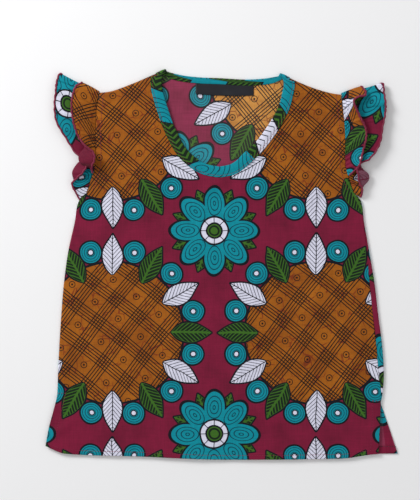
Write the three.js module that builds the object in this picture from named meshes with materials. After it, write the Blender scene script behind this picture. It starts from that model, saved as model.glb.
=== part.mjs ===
// A child's blouse of printed cotton with a bound V neck, side vents and flutter sleeves of two
// gathered tiers each, laid flat on its back.
// Millimetres. +X is right as seen from above, +Y runs from hem to neck, +Z is up. Left and right
// are as seen from above. Everything is placed by its plan position and by its level: 0 is the
// middle of the back sheet, which lies on the ground, and 1 is the middle of the front sheet.

import * as THREE from "three";
import { mergeGeometries, mergeVertices } from "three/addons/utils/BufferGeometryUtils.js";

// ---------------------------------------------------------------- driving dimensions

const PANEL_WALL = 1.2; // front and back
const TRIM_WALL = 1.0; // neck band, tiers and label
const GAP = 0.3; // between pieces at a seam
const SEAM = 0.6; // between the middles of two edges that meet end to end on a fold

const GROUND_LEVEL = PANEL_WALL / 2; // middle of the back sheet where it rests
const LOFT = 3; // from the middle of the back sheet to the middle of the front sheet

const SIDE_FOLD = 1.5; // radius of the fold at each side
const SHOULDER_FOLD = 2.2; // radius of the fold along each shoulder
const VENT_UNDERLAP = 1.5; // the back's left vent edge hides this far inside the front's

const NECK_LIFT_BACK = 1.3; // the back rises this much over the outer leaf of the neck band
const NECK_LIFT_FRONT = 2.7; // the front rises this much over both leaves at the neck corners
const ARMHOLE_LIFT_BACK = 0.55; // the back rises this much over the tiers that lie under it
const ARMHOLE_LIFT_FRONT = 0.75;

const BAND_OUTER = 12; // width of the neck band on the right side of the cloth
const BAND_INNER = 5.5; // and on the wrong side
const NECK_INSET = 3.0; // raw edge of the panels, in from the finished neck edge
const LAP_X = 24.5; // where the band's two ends meet, just right of the V

const LABEL = { x: 3.2, y: 188.3, width: 62.8, height: 11.6 };

// Horizontal sections, hem to the foot of the V. `left` is the left outline, `right` the right
// outline and `seam` the right side seam, which has rolled onto the front, so that a strip of the
// back shows beside it. Below the vents and above the underarms a side isn't shut.
const SECTIONS = [
  { y: -206, left: -190.4, seam: 169.1, right: 190.3, leftShut: false, rightShut: false },
  { y: -180, left: -186.5, seam: 170.6, right: 181.8, leftShut: false, rightShut: false },
  { y: -160, left: -182.0, seam: 171.4, right: 175.1, leftShut: false, rightShut: false },
  { y: -150, left: -179.6, seam: 171.6, right: 171.9, leftShut: false, rightShut: true },
  { y: -141, left: -177.6, seam: 172.8, right: 173.2, leftShut: true, rightShut: true },
  { y: -120, left: -176.8, seam: 169.8, right: 175.0, leftShut: true, rightShut: true },
  { y: -90, left: -175.4, seam: 167.0, right: 173.4, leftShut: true, rightShut: true },
  { y: -55, left: -173.2, seam: 163.2, right: 168.9, leftShut: true, rightShut: true },
  { y: -20, left: -170.3, seam: 159.8, right: 164.8, leftShut: true, rightShut: true },
  { y: 15, left: -165.4, seam: 156.8, right: 158.9, leftShut: true, rightShut: true },
  { y: 45, left: -158.7, seam: 153.3, right: 153.6, leftShut: true, rightShut: true },
  { y: 69, left: -153.7, seam: 149.8, right: 149.8, leftShut: true, rightShut: true },
  { y: 76, left: -146.4, seam: 143.2, right: 143.2, leftShut: false, rightShut: false },
  { y: 89, left: -141.9, seam: 138.3, right: 138.3, leftShut: false, rightShut: false },
  { y: 103, left: -137.1, seam: 134.1, right: 134.1, leftShut: false, rightShut: false },
];

// The hem hangs below its nominal line in the middle and lifts at the left.
const HEM_RISE_TOP = -150; // the hem's curve fades out at this height
const HEM = [
  { x: -190.4, y: -196.6 },
  { x: -169.3, y: -204.8 },
  { x: -88.9, y: -207.9 },
  { x: 5.0, y: -211.4 },
  { x: 127.7, y: -210.2 },
  { x: 169.1, y: -205.2 },
  { x: 190.3, y: -204.9 },
];

// Armhole seams from just above the underarm to the shoulder tip.
const ARMHOLES = {
  left: [
    { x: -146.4, y: 76.0 },
    { x: -141.9, y: 89.0 },
    { x: -137.1, y: 103.0 },
    { x: -135.9, y: 118.0 },
    { x: -136.4, y: 136.0 },
    { x: -135.9, y: 153.4 },
    { x: -134.8, y: 168.5 },
    { x: -132.6, y: 184.7 },
  ],
  right: [
    { x: 143.2, y: 76.0 },
    { x: 138.3, y: 89.0 },
    { x: 134.1, y: 103.0 },
    { x: 133.1, y: 116.0 },
    { x: 133.4, y: 132.2 },
    { x: 132.3, y: 152.3 },
    { x: 131.2, y: 165.2 },
    { x: 129.3, y: 182.7 },
  ],
};
const ARMHOLE_FOOT = 2; // entry of each armhole that the last section of the body meets

// Shoulder outlines from the tip to the neck corner.
const SHOULDERS = {
  left: [
    { x: -132.6, y: 184.7 },
    { x: -119.7, y: 186.4 },
    { x: -97.0, y: 194.4 },
    { x: -80.8, y: 201.2 },
    { x: -73.0, y: 204.5 },
    { x: -65.2, y: 207.9 },
  ],
  right: [
    { x: 129.3, y: 182.7 },
    { x: 119.0, y: 184.2 },
    { x: 102.0, y: 188.9 },
    { x: 84.5, y: 195.6 },
    { x: 76.0, y: 199.5 },
    { x: 67.6, y: 203.4 },
  ],
};

// Finished neck edge on the front, from the foot of the V up to each corner.
const V_FOOT = { x: -2.4, y: 105.3 };
const NECK_FRONT = {
  left: [
    { x: -17.0, y: 108.3 },
    { x: -30.5, y: 116.8 },
    { x: -40.0, y: 127.0 },
    { x: -47.2, y: 140.5 },
    { x: -53.0, y: 153.0 },
    { x: -57.0, y: 165.0 },
    { x: -60.6, y: 176.0 },
    { x: -64.0, y: 189.0 },
    { x: -65.0, y: 199.0 },
  ],
  right: [
    { x: 10.0, y: 108.2 },
    { x: 20.0, y: 115.4 },
    { x: 37.0, y: 132.3 },
    { x: 46.3, y: 144.5 },
    { x: 55.0, y: 158.0 },
    { x: 62.0, y: 172.5 },
    { x: 65.4, y: 186.0 },
    { x: 66.8, y: 195.0 },
  ],
};

// Finished neck edge on the back, from the right corner to the left one.
const NECK_BACK = [
  { x: 66.3, y: 200.0 },
  { x: 65.0, y: 199.4 },
  { x: 60.0, y: 199.6 },
  { x: 43.4, y: 200.4 },
  { x: 0.0, y: 202.0 },
  { x: -40.0, y: 203.9 },
  { x: -58.0, y: 204.4 },
  { x: -62.6, y: 204.3 },
  { x: -63.8, y: 204.9 },
];

// Soft ridges of the front sheet: a line in plan, its half width and its height.
const RIDGES = [
  { x1: -118, y1: 172, x2: -84, y2: 118, halfWidth: 16, height: 0.8 },
  { x1: -150, y1: 40, x2: -70, y2: -10, halfWidth: 22, height: 0.7 },
  { x1: 40, y1: 60, x2: 120, y2: 20, halfWidth: 24, height: 0.6 },
  { x1: 120, y1: -40, x2: 60, y2: -170, halfWidth: 22, height: 0.7 },
  { x1: -120, y1: -90, x2: -60, y2: -190, halfWidth: 22, height: 0.6 },
];

// Tiers, from the fold over the shoulder tip (at 0) down to the underarm (at 1). `heading` is the
// plan direction in degrees, `tilt` and `curl` turn the cloth up from the seam and over at its
// edge, after `straight` mm. `lower`, `upper` and `back` are the depths of the long tier, of the
// short tier and of the long tier's back half, which lies flat.
const TIERS = {
  left: [
    { at: 0.0, heading: 155, tilt: 0, straight: 20, curl: 0, lower: 46, upper: 22, back: 46 },
    { at: 0.1, heading: 158, tilt: 5, straight: 20, curl: 4, lower: 47, upper: 25, back: 45 },
    { at: 0.2, heading: 166, tilt: 9, straight: 20, curl: 8, lower: 47, upper: 27, back: 43 },
    { at: 0.3, heading: 168, tilt: 4, straight: 20, curl: 14, lower: 45, upper: 26, back: 41 },
    { at: 0.4, heading: 166, tilt: 8, straight: 18, curl: 24, lower: 42, upper: 26, back: 36 },
    { at: 0.5, heading: 163, tilt: 8, straight: 17, curl: 50, lower: 37, upper: 24, back: 28 },
    { at: 0.6, heading: 160, tilt: 5, straight: 15, curl: 130, lower: 32, upper: 20, back: 19 },
    { at: 0.7, heading: 152, tilt: 4, straight: 12, curl: 165, lower: 30, upper: 18, back: 16 },
    { at: 0.8, heading: 164, tilt: 6, straight: 13, curl: 145, lower: 28, upper: 17, back: 16 },
    { at: 0.9, heading: 168, tilt: 6, straight: 10, curl: 100, lower: 22, upper: 13, back: 11 },
    { at: 1.0, heading: 176, tilt: 5, straight: 6, curl: 35, lower: 12, upper: 7, back: 6 },
  ],
  right: [
    { at: 0.0, heading: 14, tilt: 0, straight: 20, curl: 0, lower: 46, upper: 23, back: 45 },
    { at: 0.1, heading: 14, tilt: 4, straight: 20, curl: 6, lower: 46, upper: 26, back: 44 },
    { at: 0.2, heading: 12, tilt: 8, straight: 20, curl: 12, lower: 47, upper: 26, back: 43 },
    { at: 0.3, heading: 13, tilt: 5, straight: 20, curl: 26, lower: 45, upper: 24, back: 40 },
    { at: 0.4, heading: 15, tilt: 9, straight: 20, curl: 30, lower: 43, upper: 26, back: 37 },
    { at: 0.5, heading: 15, tilt: 12, straight: 18, curl: 34, lower: 42, upper: 27, back: 33 },
    { at: 0.6, heading: 18, tilt: 6, straight: 17, curl: 55, lower: 36, upper: 25, back: 27 },
    { at: 0.7, heading: 25, tilt: 5, straight: 13, curl: 125, lower: 30, upper: 19, back: 18 },
    { at: 0.8, heading: 28, tilt: 6, straight: 12, curl: 120, lower: 28, upper: 17, back: 16 },
    { at: 0.9, heading: 30, tilt: 6, straight: 10, curl: 90, lower: 23, upper: 13, back: 11 },
    { at: 1.0, heading: 24, tilt: 5, straight: 6, curl: 35, lower: 11, upper: 7, back: 6 },
  ],
};
const TIER_SEAM = 0.8; // from the armhole edge to the gathered edge of the tiers
const UPPER_EXTRA_TILT = 5; // degrees that the short tier stands off the long one
const BACK_UPPER_SHARE = 0.58; // depth of the short tier's back half over the long one's

// How finely each patch is cut.
const CUTS = { side: 4, flat: 12, wrap: 7, strap: 8, fold: 4, tierFront: 14, tierFold: 5, tierBack: 6 };

// ---------------------------------------------------------------- tables and curves

const { clamp, degToRad, lerp, smoothstep } = THREE.MathUtils;

/** A smooth function through two columns of a table. */
function track(rows, from, to) {
  const curve = new THREE.CubicInterpolant(
    rows.map((row) => row[from]),
    rows.map((row) => row[to]),
    1,
  );
  return (at) => curve.evaluate(at)[0];
}

/** A smooth plan curve through the points of a table. */
function planCurve(points) {
  return new THREE.CatmullRomCurve3(
    points.map(({ x, y }) => new THREE.Vector3(x, y, 0)),
    false,
    "centripetal",
  );
}

/** Plan points at equal steps along a table's curve. */
const spaced = (points, count) => planCurve(points).getSpacedPoints(count);

/** 1 up to the distance `full`, fading to 0 at the distance `none`. */
const fade = (distance, full, none) => 1 - smoothstep(distance, full, none);

function nearest(points, x, y) {
  return Math.min(...points.map((p) => Math.hypot(p.x - x, p.y - y)));
}

const last = (list) => list[list.length - 1];

// ---------------------------------------------------------------- heights of the two sheets

const CORNERS = [last(SHOULDERS.left), last(SHOULDERS.right)];
const ARMHOLE_POINTS = [...spaced(ARMHOLES.left, 24), ...spaced(ARMHOLES.right, 24)];
const BACK_NECK_POINTS = spaced([CORNERS[1], ...NECK_BACK, CORNERS[0]], 40);

function ridgeHeight(x, y) {
  return RIDGES.reduce((sum, { x1, y1, x2, y2, halfWidth, height }) => {
    const length = Math.hypot(x2 - x1, y2 - y1);
    const along = ((x - x1) * (x2 - x1) + (y - y1) * (y2 - y1)) / length;
    const across = ((x - x1) * (y2 - y1) - (y - y1) * (x2 - x1)) / length;
    const beyond = Math.max(0, -along, along - length);
    return sum + height * fade(Math.hypot(across, beyond), 0, halfWidth);
  }, 0);
}

function backHeight(x, y) {
  const neck = NECK_LIFT_BACK * fade(nearest(BACK_NECK_POINTS, x, y), 22, 46);
  const armhole = ARMHOLE_LIFT_BACK * fade(nearest(ARMHOLE_POINTS, x, y), 4, 28);
  return GROUND_LEVEL + Math.max(neck, armhole);
}

function frontHeight(x, y) {
  const neck = NECK_LIFT_FRONT * fade(nearest(CORNERS, x, y), 16, 76);
  const armhole = ARMHOLE_LIFT_FRONT * fade(nearest(ARMHOLE_POINTS, x, y), 4, 28);
  return GROUND_LEVEL + LOFT + Math.max(neck, armhole) + ridgeHeight(x, y);
}

/** A plan point at a level between the back sheet (0) and the front sheet (1). */
function raise(x, y, level) {
  return new THREE.Vector3(x, y, lerp(backHeight(x, y), frontHeight(x, y), level));
}

// ---------------------------------------------------------------- surfaces and solids

/** An open surface through a grid of points, a list of rows of equal length. */
function sheet(rows) {
  const width = rows[0].length;
  const index = [];
  for (let row = 0; row + 1 < rows.length; row++)
    for (let column = 0; column + 1 < width; column++) {
      const a = row * width + column;
      index.push(a, a + 1, a + width + 1, a, a + width + 1, a + width);
    }
  const geometry = new THREE.BufferGeometry().setFromPoints(rows.flat());
  return geometry.setIndex(index);
}

/** Surfaces that share edges, sewn into one. */
const joined = (...sheets) => mergeVertices(mergeGeometries(sheets), 1e-4);

/** A closed wall with the surface in its middle. `up` is the side that its rows face. */
function thicken(surface, wall, up = 1) {
  surface.computeVertexNormals();
  const { position, normal } = surface.attributes;
  const faces = Array.from(surface.index.array);
  const count = position.count;
  const points = [];
  for (const side of [up, -up])
    for (let i = 0; i < count; i++)
      points.push(
        new THREE.Vector3()
          .fromBufferAttribute(normal, i)
          .multiplyScalar((side * wall) / 2)
          .add(new THREE.Vector3().fromBufferAttribute(position, i)),
      );

  const open = new Map();
  const index = [];
  for (let f = 0; f < faces.length; f += 3) {
    const [a, b, c] = up > 0 ? faces.slice(f, f + 3) : faces.slice(f, f + 3).reverse();
    index.push(a, b, c, c + count, b + count, a + count);
    for (const [from, to] of [[a, b], [b, c], [c, a]])
      if (!open.delete(`${to},${from}`)) open.set(`${from},${to}`, [from, to]);
  }
  for (const [from, to] of open.values())
    index.push(from, from + count, to + count, from, to + count, to);
  return new THREE.BufferGeometry().setFromPoints(points).setIndex(index);
}

/** A closed solid through rings of points, with a flat cap at each end. */
function loft(rings) {
  const sides = rings[0].length;
  const index = [];
  for (let ring = 0; ring + 1 < rings.length; ring++)
    for (let side = 0; side < sides; side++) {
      const a = ring * sides + side;
      const b = ring * sides + ((side + 1) % sides);
      index.push(a, b, b + sides, a, b + sides, a + sides);
    }
  const cap = THREE.ShapeUtils.triangulateShape(BAND_PROFILE, []);
  const end = (rings.length - 1) * sides;
  for (const [a, b, c] of cap) index.push(c, b, a, end + a, end + b, end + c);
  return new THREE.BufferGeometry().setFromPoints(rings.flat()).setIndex(index);
}

/** The rows of a patch between four edges, each a list of plan points. */
function coonsRows(bottom, top, leftEdge, rightEdge) {
  const rows = leftEdge.length - 1;
  const columns = bottom.length - 1;
  const mix = (a, b, t) => new THREE.Vector3().lerpVectors(a, b, t);
  return leftEdge.map((left, row) =>
    bottom.map((foot, column) => {
      if (row === 0) return foot.clone();
      if (row === rows) return top[column].clone();
      if (column === 0) return left.clone();
      if (column === columns) return rightEdge[row].clone();
      const v = row / rows;
      const u = (foot.x - bottom[0].x) / (last(bottom).x - bottom[0].x);
      const upright = mix(foot, top[column], v);
      const level = mix(left, rightEdge[row], u);
      const corners = mix(mix(bottom[0], last(bottom), u), mix(top[0], last(top), u), v);
      return upright.add(level).sub(corners);
    }),
  );
}

const raised = (rows, level) => rows.map((row) => row.map(({ x, y }) => raise(x, y, level)));

// ---------------------------------------------------------------- body, hem to the foot of the V

const hemHeight = track(HEM, "x", "y");

/** The height of a section's point, with the hem's curve fading out upwards. */
function sectionHeight(section, x) {
  const share = clamp((HEM_RISE_TOP - section.y) / (HEM_RISE_TOP - SECTIONS[0].y), 0, 1);
  return section.y + share * (hemHeight(x) - SECTIONS[0].y);
}

/** A point round a side fold, `turned` mm from the foot of its curve on the back sheet. */
function roundSide(edge, outward, turned) {
  const angle = Math.min(turned / SIDE_FOLD, Math.PI);
  const over = Math.max(0, turned - Math.PI * SIDE_FOLD);
  return {
    x: edge - outward * (SIDE_FOLD - SIDE_FOLD * Math.sin(angle) + over),
    level: (1 - Math.cos(angle)) / 2,
  };
}

/** How far round the right fold the seam lies. */
function seamTurn({ seam, right }) {
  const strip = right - seam;
  if (strip >= SIDE_FOLD) return Math.PI * SIDE_FOLD + strip - SIDE_FOLD;
  return SIDE_FOLD * (Math.PI / 2 + Math.acos(1 - strip / SIDE_FOLD));
}

/** Equal steps from one number to another, without the first. */
const steps = (from, to, count) =>
  Array.from({ length: count }, (_, i) => lerp(from, to, (i + 1) / count));

function frontRow(section) {
  const { left, seam, right, leftShut, rightShut } = section;
  const flat = (x) => ({ x, level: 1 });
  const half = (Math.PI / 2) * SIDE_FOLD;
  const start = left + SIDE_FOLD;
  const turn = seamTurn(section) + SEAM / 2;
  const inFold = rightShut && turn < 2 * half;
  const stop = inFold ? right - SIDE_FOLD : seam - (rightShut ? SEAM / 2 : 0) - SIDE_FOLD;
  return [
    ...[half + SEAM / 2, ...steps(half + SEAM / 2, 2 * half, CUTS.side)].map((turned, i) =>
      leftShut ? roundSide(left, -1, turned) : flat(lerp(left, start, i / CUTS.side)),
    ),
    ...steps(start, stop, CUTS.flat).map(flat),
    ...steps(0, 1, CUTS.side - 1).map((share) =>
      inFold ? roundSide(right, 1, lerp(2 * half, turn, share)) : flat(stop + share * SIDE_FOLD),
    ),
  ].map(({ x, level }) => raise(x, sectionHeight(section, x), level));
}

function backRow(section) {
  const { left, right, leftShut, rightShut } = section;
  const flat = (x) => ({ x, level: 0 });
  const half = (Math.PI / 2) * SIDE_FOLD;
  const edge = left + (section.y < 0 ? VENT_UNDERLAP : 0);
  const start = left + SIDE_FOLD + (leftShut ? 0 : VENT_UNDERLAP);
  const stop = right - SIDE_FOLD;
  const turn = seamTurn(section) - SEAM / 2;
  const bend = Math.min(2 * half, turn - GAP);
  return [
    ...[half - SEAM / 2, ...steps(half - SEAM / 2, 0, CUTS.side)].map((turned, i) =>
      leftShut ? roundSide(left, -1, turned) : flat(lerp(edge, start, i / CUTS.side)),
    ),
    ...steps(start, stop, CUTS.flat).map(flat),
    ...[...steps(0, bend, CUTS.wrap), turn].map((turned, i) =>
      rightShut ? roundSide(right, 1, turned) : flat(lerp(stop, right, (i + 1) / (CUTS.wrap + 1))),
    ),
  ].map(({ x, level }) => raise(x, sectionHeight(section, x), level));
}

// ---------------------------------------------------------------- shoulders and neck

const SIDES = ["left", "right"];

/** Plan direction across each shoulder at the neck, out of the cloth. */
const SHOULDER_OUT = Object.fromEntries(
  SIDES.map((side) => {
    const [near, corner] = SHOULDERS[side].slice(-2);
    const along = new THREE.Vector3(corner.x - near.x, corner.y - near.y, 0).normalize();
    return [side, new THREE.Vector3(-along.y, along.x, 0).multiplyScalar(side === "left" ? 1 : -1)];
  }),
);

/** Where each shoulder's fold begins, moved in from its outline. */
function foldFoot(side, point) {
  return new THREE.Vector3(point.x, point.y, 0).addScaledVector(SHOULDER_OUT[side], -SHOULDER_FOLD);
}

/** Rows that carry a shoulder's last flat row up to its seam, from the given level to the middle. */
function foldRows(side, flatRow, level) {
  const full = Math.PI / 2 - SEAM / 2 / SIDE_FOLD;
  const turns = [0, ...steps(0, full, CUTS.fold)];
  return turns.map((angle) =>
    flatRow.map((foot) => {
      const out = SHOULDER_FOLD * Math.sin(angle);
      const point = foot.clone().addScaledVector(SHOULDER_OUT[side], out);
      return raise(point.x, point.y, 0.5 + (level - 0.5) * Math.cos(angle));
    }),
  );
}

/** The neck edge as stations in order round the loop, each with its place and its facing. */
function neckStations() {
  const flat = (points, level) =>
    points.map((p) => ({ at: raise(p.x, p.y, level), facing: new THREE.Vector3(0, 0, 2 * level - 1) }));
  const fold = (side, down) => {
    const foot = foldFoot(side, last(SHOULDERS[side]));
    return [...Array(9).keys()].map((i) => {
      const angle = (Math.PI * (down ? i : 8 - i)) / 8;
      const point = foot.clone().addScaledVector(SHOULDER_OUT[side], SHOULDER_FOLD * Math.sin(angle));
      const facing = SHOULDER_OUT[side].clone().multiplyScalar(Math.sin(angle));
      facing.z = Math.cos(angle);
      const into = new THREE.Vector3(-SHOULDER_OUT[side].y, SHOULDER_OUT[side].x, 0);
      into.multiplyScalar(side === "left" ? 1 : -1);
      return { at: raise(point.x, point.y, (1 + Math.cos(angle)) / 2), facing, into };
    });
  };
  const rightFoot = foldFoot("right", CORNERS[1]);
  const leftFoot = foldFoot("left", CORNERS[0]);
  const up = spaced([V_FOOT, ...NECK_FRONT.right, rightFoot], 26).slice(0, -1);
  const down = spaced([leftFoot, ...[...NECK_FRONT.left].reverse(), V_FOOT], 24).slice(1);
  const back = spaced([rightFoot, ...NECK_BACK, leftFoot], 30).slice(1, -1);
  const lap = up.findIndex(({ x }) => x > LAP_X);
  const start = up[lap].clone();
  const end = start.clone().lerp(up[lap - 1], GAP / start.distanceTo(up[lap - 1]));
  return [
    ...flat([start, ...up.slice(lap + 1)], 1),
    ...fold("right", true),
    ...flat(back, 0),
    ...fold("left", false),
    ...flat([...down, ...up.slice(1, lap), end], 1),
  ];
}

/** Each station with its direction into the cloth. */
const NECK = neckStations().map((station, i, all) => {
  const ahead = all[Math.min(i + 1, all.length - 1)].at;
  const behind = all[Math.max(i - 1, 0)].at;
  const along = ahead.clone().sub(behind).normalize();
  return { into: along.cross(station.facing).normalize(), ...station };
});

/** Plan points of the panels' raw neck edge, under the band, for part of the loop. */
function rawNeck(stations, count) {
  const inset = stations.map(({ at, into }) => {
    const plan = new THREE.Vector3(into.x, into.y, 0).normalize();
    return new THREE.Vector3(at.x, at.y, 0).addScaledVector(plan, NECK_INSET);
  });
  return spaced(inset, count);
}

const isFront = ({ facing }) => facing.z === 1;
const isBack = ({ facing }) => facing.z === -1;
const V_RAW = new THREE.Vector3(V_FOOT.x, V_FOOT.y - NECK_INSET, 0);
const firstLeft = NECK.findLastIndex(isBack);
const RAW_EDGES = {
  left: NECK.slice(firstLeft).filter((s) => isFront(s) && s.at.x < V_FOOT.x - 4).reverse(),
  right: NECK.filter((s, i) => isFront(s) && (i < firstLeft || s.at.x > V_FOOT.x + 4)).sort(
    (a, b) => a.at.y - b.at.y,
  ),
};

/** A shoulder's row where its fold begins, from the armhole to the neck's raw edge. */
function shoulderFeet(side, shares) {
  const outline = planCurve(SHOULDERS[side]);
  const reach = 1 - NECK_INSET / outline.getLength();
  return shares.map((share) => foldFoot(side, outline.getPointAt(share * reach)));
}

/** Shares of the way from the first to the last of a list of points, by x. */
const sharesOf = (points) => points.map((p) => (p.x - points[0].x) / (last(points).x - points[0].x));

function strapRows(side, junction) {
  const plan = junction.map(({ x, y }) => new THREE.Vector3(x, y, 0));
  const outward = side === "left" ? plan : [...plan].reverse();
  const top = shoulderFeet(side, sharesOf(outward));
  const armhole = spaced([...ARMHOLES[side].slice(ARMHOLE_FOOT, -1), top[0]], CUTS.strap);
  const neck = rawNeck(RAW_EDGES[side], CUTS.strap * 4).slice(1);
  const edge = spaced([last(outward), ...neck, last(top)], CUTS.strap);
  const flatRows = coonsRows(outward, top, armhole, edge);
  const rows = [...raised(flatRows, 1), ...foldRows(side, top, 1).slice(1)];
  return side === "left" ? rows : rows.map((row) => row.reverse());
}

// ---------------------------------------------------------------- panels

function frontPanel() {
  const body = SECTIONS.map(frontRow);
  const junction = last(body);
  const middle = CUTS.side + CUTS.flat / 2;
  junction[middle].set(V_RAW.x, V_RAW.y, raise(V_RAW.x, V_RAW.y, 1).z);
  const surface = joined(
    sheet(body),
    sheet(strapRows("left", junction.slice(0, middle + 1))),
    sheet(strapRows("right", junction.slice(middle))),
  );
  return thicken(surface, PANEL_WALL);
}

function backPanel() {
  const body = SECTIONS.map(backRow);
  const junction = last(body).map(({ x, y }) => new THREE.Vector3(x, y, 0));
  const corner = { left: CUTS.side + CUTS.flat / 4, right: CUTS.side + (3 * CUTS.flat) / 4 };
  const shoulders = {
    left: shoulderFeet("left", sharesOf(junction.slice(0, corner.left + 1))),
    right: shoulderFeet("right", sharesOf(junction.slice(corner.right).reverse())).reverse(),
  };
  const neckline = planCurve([
    shoulders.right[0],
    ...rawNeck(NECK.filter(isBack), 24).slice(2, -2),
    last(shoulders.left),
  ]);
  const crossing = corner.right - corner.left; // closer together towards the neck's corners
  const neck = [...Array(crossing + 1).keys()]
    .map((i) => neckline.getPointAt((1 - Math.cos((Math.PI * i) / crossing)) / 2))
    .reverse();
  const top = [...shoulders.left.slice(0, -1), ...neck, ...shoulders.right.slice(1)];
  const armhole = (side, tip) =>
    spaced([...ARMHOLES[side].slice(ARMHOLE_FOOT, -1), tip], CUTS.strap);
  const flatRows = coonsRows(junction, top, armhole("left", top[0]), armhole("right", last(top)));
  return thicken(
    joined(
      sheet(body),
      sheet(raised(flatRows, 0)),
      sheet(foldRows("left", shoulders.left, 0)),
      sheet(foldRows("right", shoulders.right, 0)),
    ),
    PANEL_WALL,
    -1,
  );
}

// ---------------------------------------------------------------- neck band and label

// The band's profile: x runs into the cloth from the finished neck edge, y is up from the middle of
// the panel that it grips.
const BAND_GRIP = PANEL_WALL / 2 + GAP;
const BAND_OUTSIDE = BAND_GRIP + TRIM_WALL;
const BAND_PROFILE = [
  [0.6, -BAND_OUTSIDE],
  [BAND_INNER, -BAND_OUTSIDE],
  [BAND_INNER, -BAND_GRIP],
  [TRIM_WALL, -BAND_GRIP],
  [TRIM_WALL, BAND_GRIP],
  [BAND_OUTER, BAND_GRIP],
  [BAND_OUTER, BAND_OUTSIDE],
  [0.6, BAND_OUTSIDE],
  [0, BAND_OUTSIDE - 0.6],
  [0, 0.6 - BAND_OUTSIDE],
].map(([x, y]) => new THREE.Vector2(x, y));

function neckBand() {
  return loft(
    NECK.map(({ at, facing, into }) =>
      BAND_PROFILE.map(({ x, y }) =>
        at.clone().addScaledVector(into, x).addScaledVector(facing, y),
      ),
    ).reverse(),
  );
}

function neckLabel() {
  const above = PANEL_WALL / 2 + GAP + TRIM_WALL / 2;
  const rows = [-0.5, 0, 0.5].map((v) =>
    [-0.5, -0.3, -0.1, 0.1, 0.3, 0.5].map((u) => {
      const point = raise(LABEL.x + u * LABEL.width, LABEL.y + v * LABEL.height, 0);
      return point.add(new THREE.Vector3(0, 0, above));
    }),
  );
  return thicken(sheet(rows), TRIM_WALL);
}

// ---------------------------------------------------------------- sleeves

const TIER_OFFSET = (TRIM_WALL + GAP) / 2; // each tier's middle, off the middle of the panel

/** The section of a tier: how far out and up it is, `depth` mm from its seam. */
function tierSection({ tilt, straight, curl, full }, depth, offset) {
  let [out, up] = [0, 0];
  let angle = degToRad(tilt);
  const parts = 24;
  for (let i = 0; i < parts; i++) {
    const s = ((i + 0.5) / parts) * depth;
    angle = degToRad(tilt + (s > straight ? (curl * (s - straight)) / (full - straight) : 0));
    out += (Math.cos(angle) * depth) / parts;
    up += (Math.sin(angle) * depth) / parts;
  }
  const end = depth > straight ? (curl * (depth - straight)) / (full - straight) : 0;
  angle = degToRad(tilt + end);
  return { out: out - offset * Math.sin(angle), up: up + offset * Math.cos(angle) };
}

/** One tier of one sleeve: its front half, its fold over the shoulder tip and its back half. */
function tier(side, name) {
  const table = TIERS[side];
  const column = Object.fromEntries(
    Object.keys(table[0]).map((key) => [key, track(table, "at", key)]),
  );
  const isUpper = name === "upper";
  const armhole = planCurve([...ARMHOLES[side]].reverse());
  const shares = isUpper ? [0, 0.25, 0.5, 0.75, 1] : [0, 0.17, 0.34, 0.5, 0.66, 0.83, 1];
  const reach = (at, front) => {
    if (front) return column[name](at);
    return column.back(at) * (isUpper ? BACK_UPPER_SHARE : 1);
  };
  const headingAt = (at) => {
    const angle = degToRad(column.heading(at));
    return new THREE.Vector3(Math.cos(angle), Math.sin(angle), 0);
  };

  const row = (at, front) => {
    const heading = headingAt(at);
    const seam = armhole.getPointAt(at).addScaledVector(heading, TIER_SEAM);
    const foot = raise(seam.x, seam.y, front ? 1 : 0);
    const depth = reach(at, front);
    return shares.map((share) => {
      if (!front) {
        const point = foot.clone().addScaledVector(heading, share * depth);
        point.z += isUpper ? -TIER_OFFSET : TIER_OFFSET;
        return point;
      }
      const shape = {
        tilt: column.tilt(at) + (isUpper ? UPPER_EXTRA_TILT * Math.sin(Math.PI * at) ** 2 : 0),
        straight: column.straight(at),
        curl: column.curl(at),
        full: column.lower(at),
      };
      const spread = TIER_OFFSET * (1 + share) * (isUpper ? 1 : -1);
      const { out, up } = tierSection(shape, share * depth, spread);
      return foot.clone().addScaledVector(heading, out).add(new THREE.Vector3(0, 0, up));
    });
  };

  const foldRow = (angle) => {
    const heading = headingAt(0);
    const sideways = new THREE.Vector3(-heading.y, heading.x, 0);
    sideways.multiplyScalar(side === "left" ? -1 : 1);
    const [top, bottom] = [row(0, true), row(0, false)];
    return shares.map((_, i) => {
      const middle = new THREE.Vector3().lerpVectors(bottom[i], top[i], 0.5 + Math.cos(angle) / 2);
      const radius = (top[i].z - bottom[i].z) / 2;
      return middle.addScaledVector(sideways, radius * Math.sin(angle));
    });
  };

  const rows = [
    ...[1, ...steps(1, 0, CUTS.tierFront)].map((at) => row(Math.max(at, 0), true)),
    ...steps(0, Math.PI, CUTS.tierFold).slice(0, -1).map(foldRow),
    ...[0, ...steps(0, 1, CUTS.tierBack)].map((at) => row(at, false)),
  ];
  return thicken(sheet(rows), TRIM_WALL, side === "left" ? -1 : 1);
}

// ---------------------------------------------------------------- assembly

const cloth = (color, roughness = 0.85) =>
  new THREE.MeshStandardMaterial({ color, roughness, metalness: 0 });

const PIECES = [
  { name: "front_panel", solid: frontPanel(), finish: cloth(0x8a2a46) },
  { name: "back_panel", solid: backPanel(), finish: cloth(0xb9782c) },
  { name: "neck_band", solid: neckBand(), finish: cloth(0x128a96) },
  { name: "neck_label", solid: neckLabel(), finish: cloth(0x1e2230, 0.5) },
  { name: "sleeve_left_upper", solid: tier("left", "upper"), finish: cloth(0x3f6b2c) },
  { name: "sleeve_left_lower", solid: tier("left", "lower"), finish: cloth(0x2c4f22) },
  { name: "sleeve_right_upper", solid: tier("right", "upper"), finish: cloth(0x3f6b2c) },
  { name: "sleeve_right_lower", solid: tier("right", "lower"), finish: cloth(0x2c4f22) },
];

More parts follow.
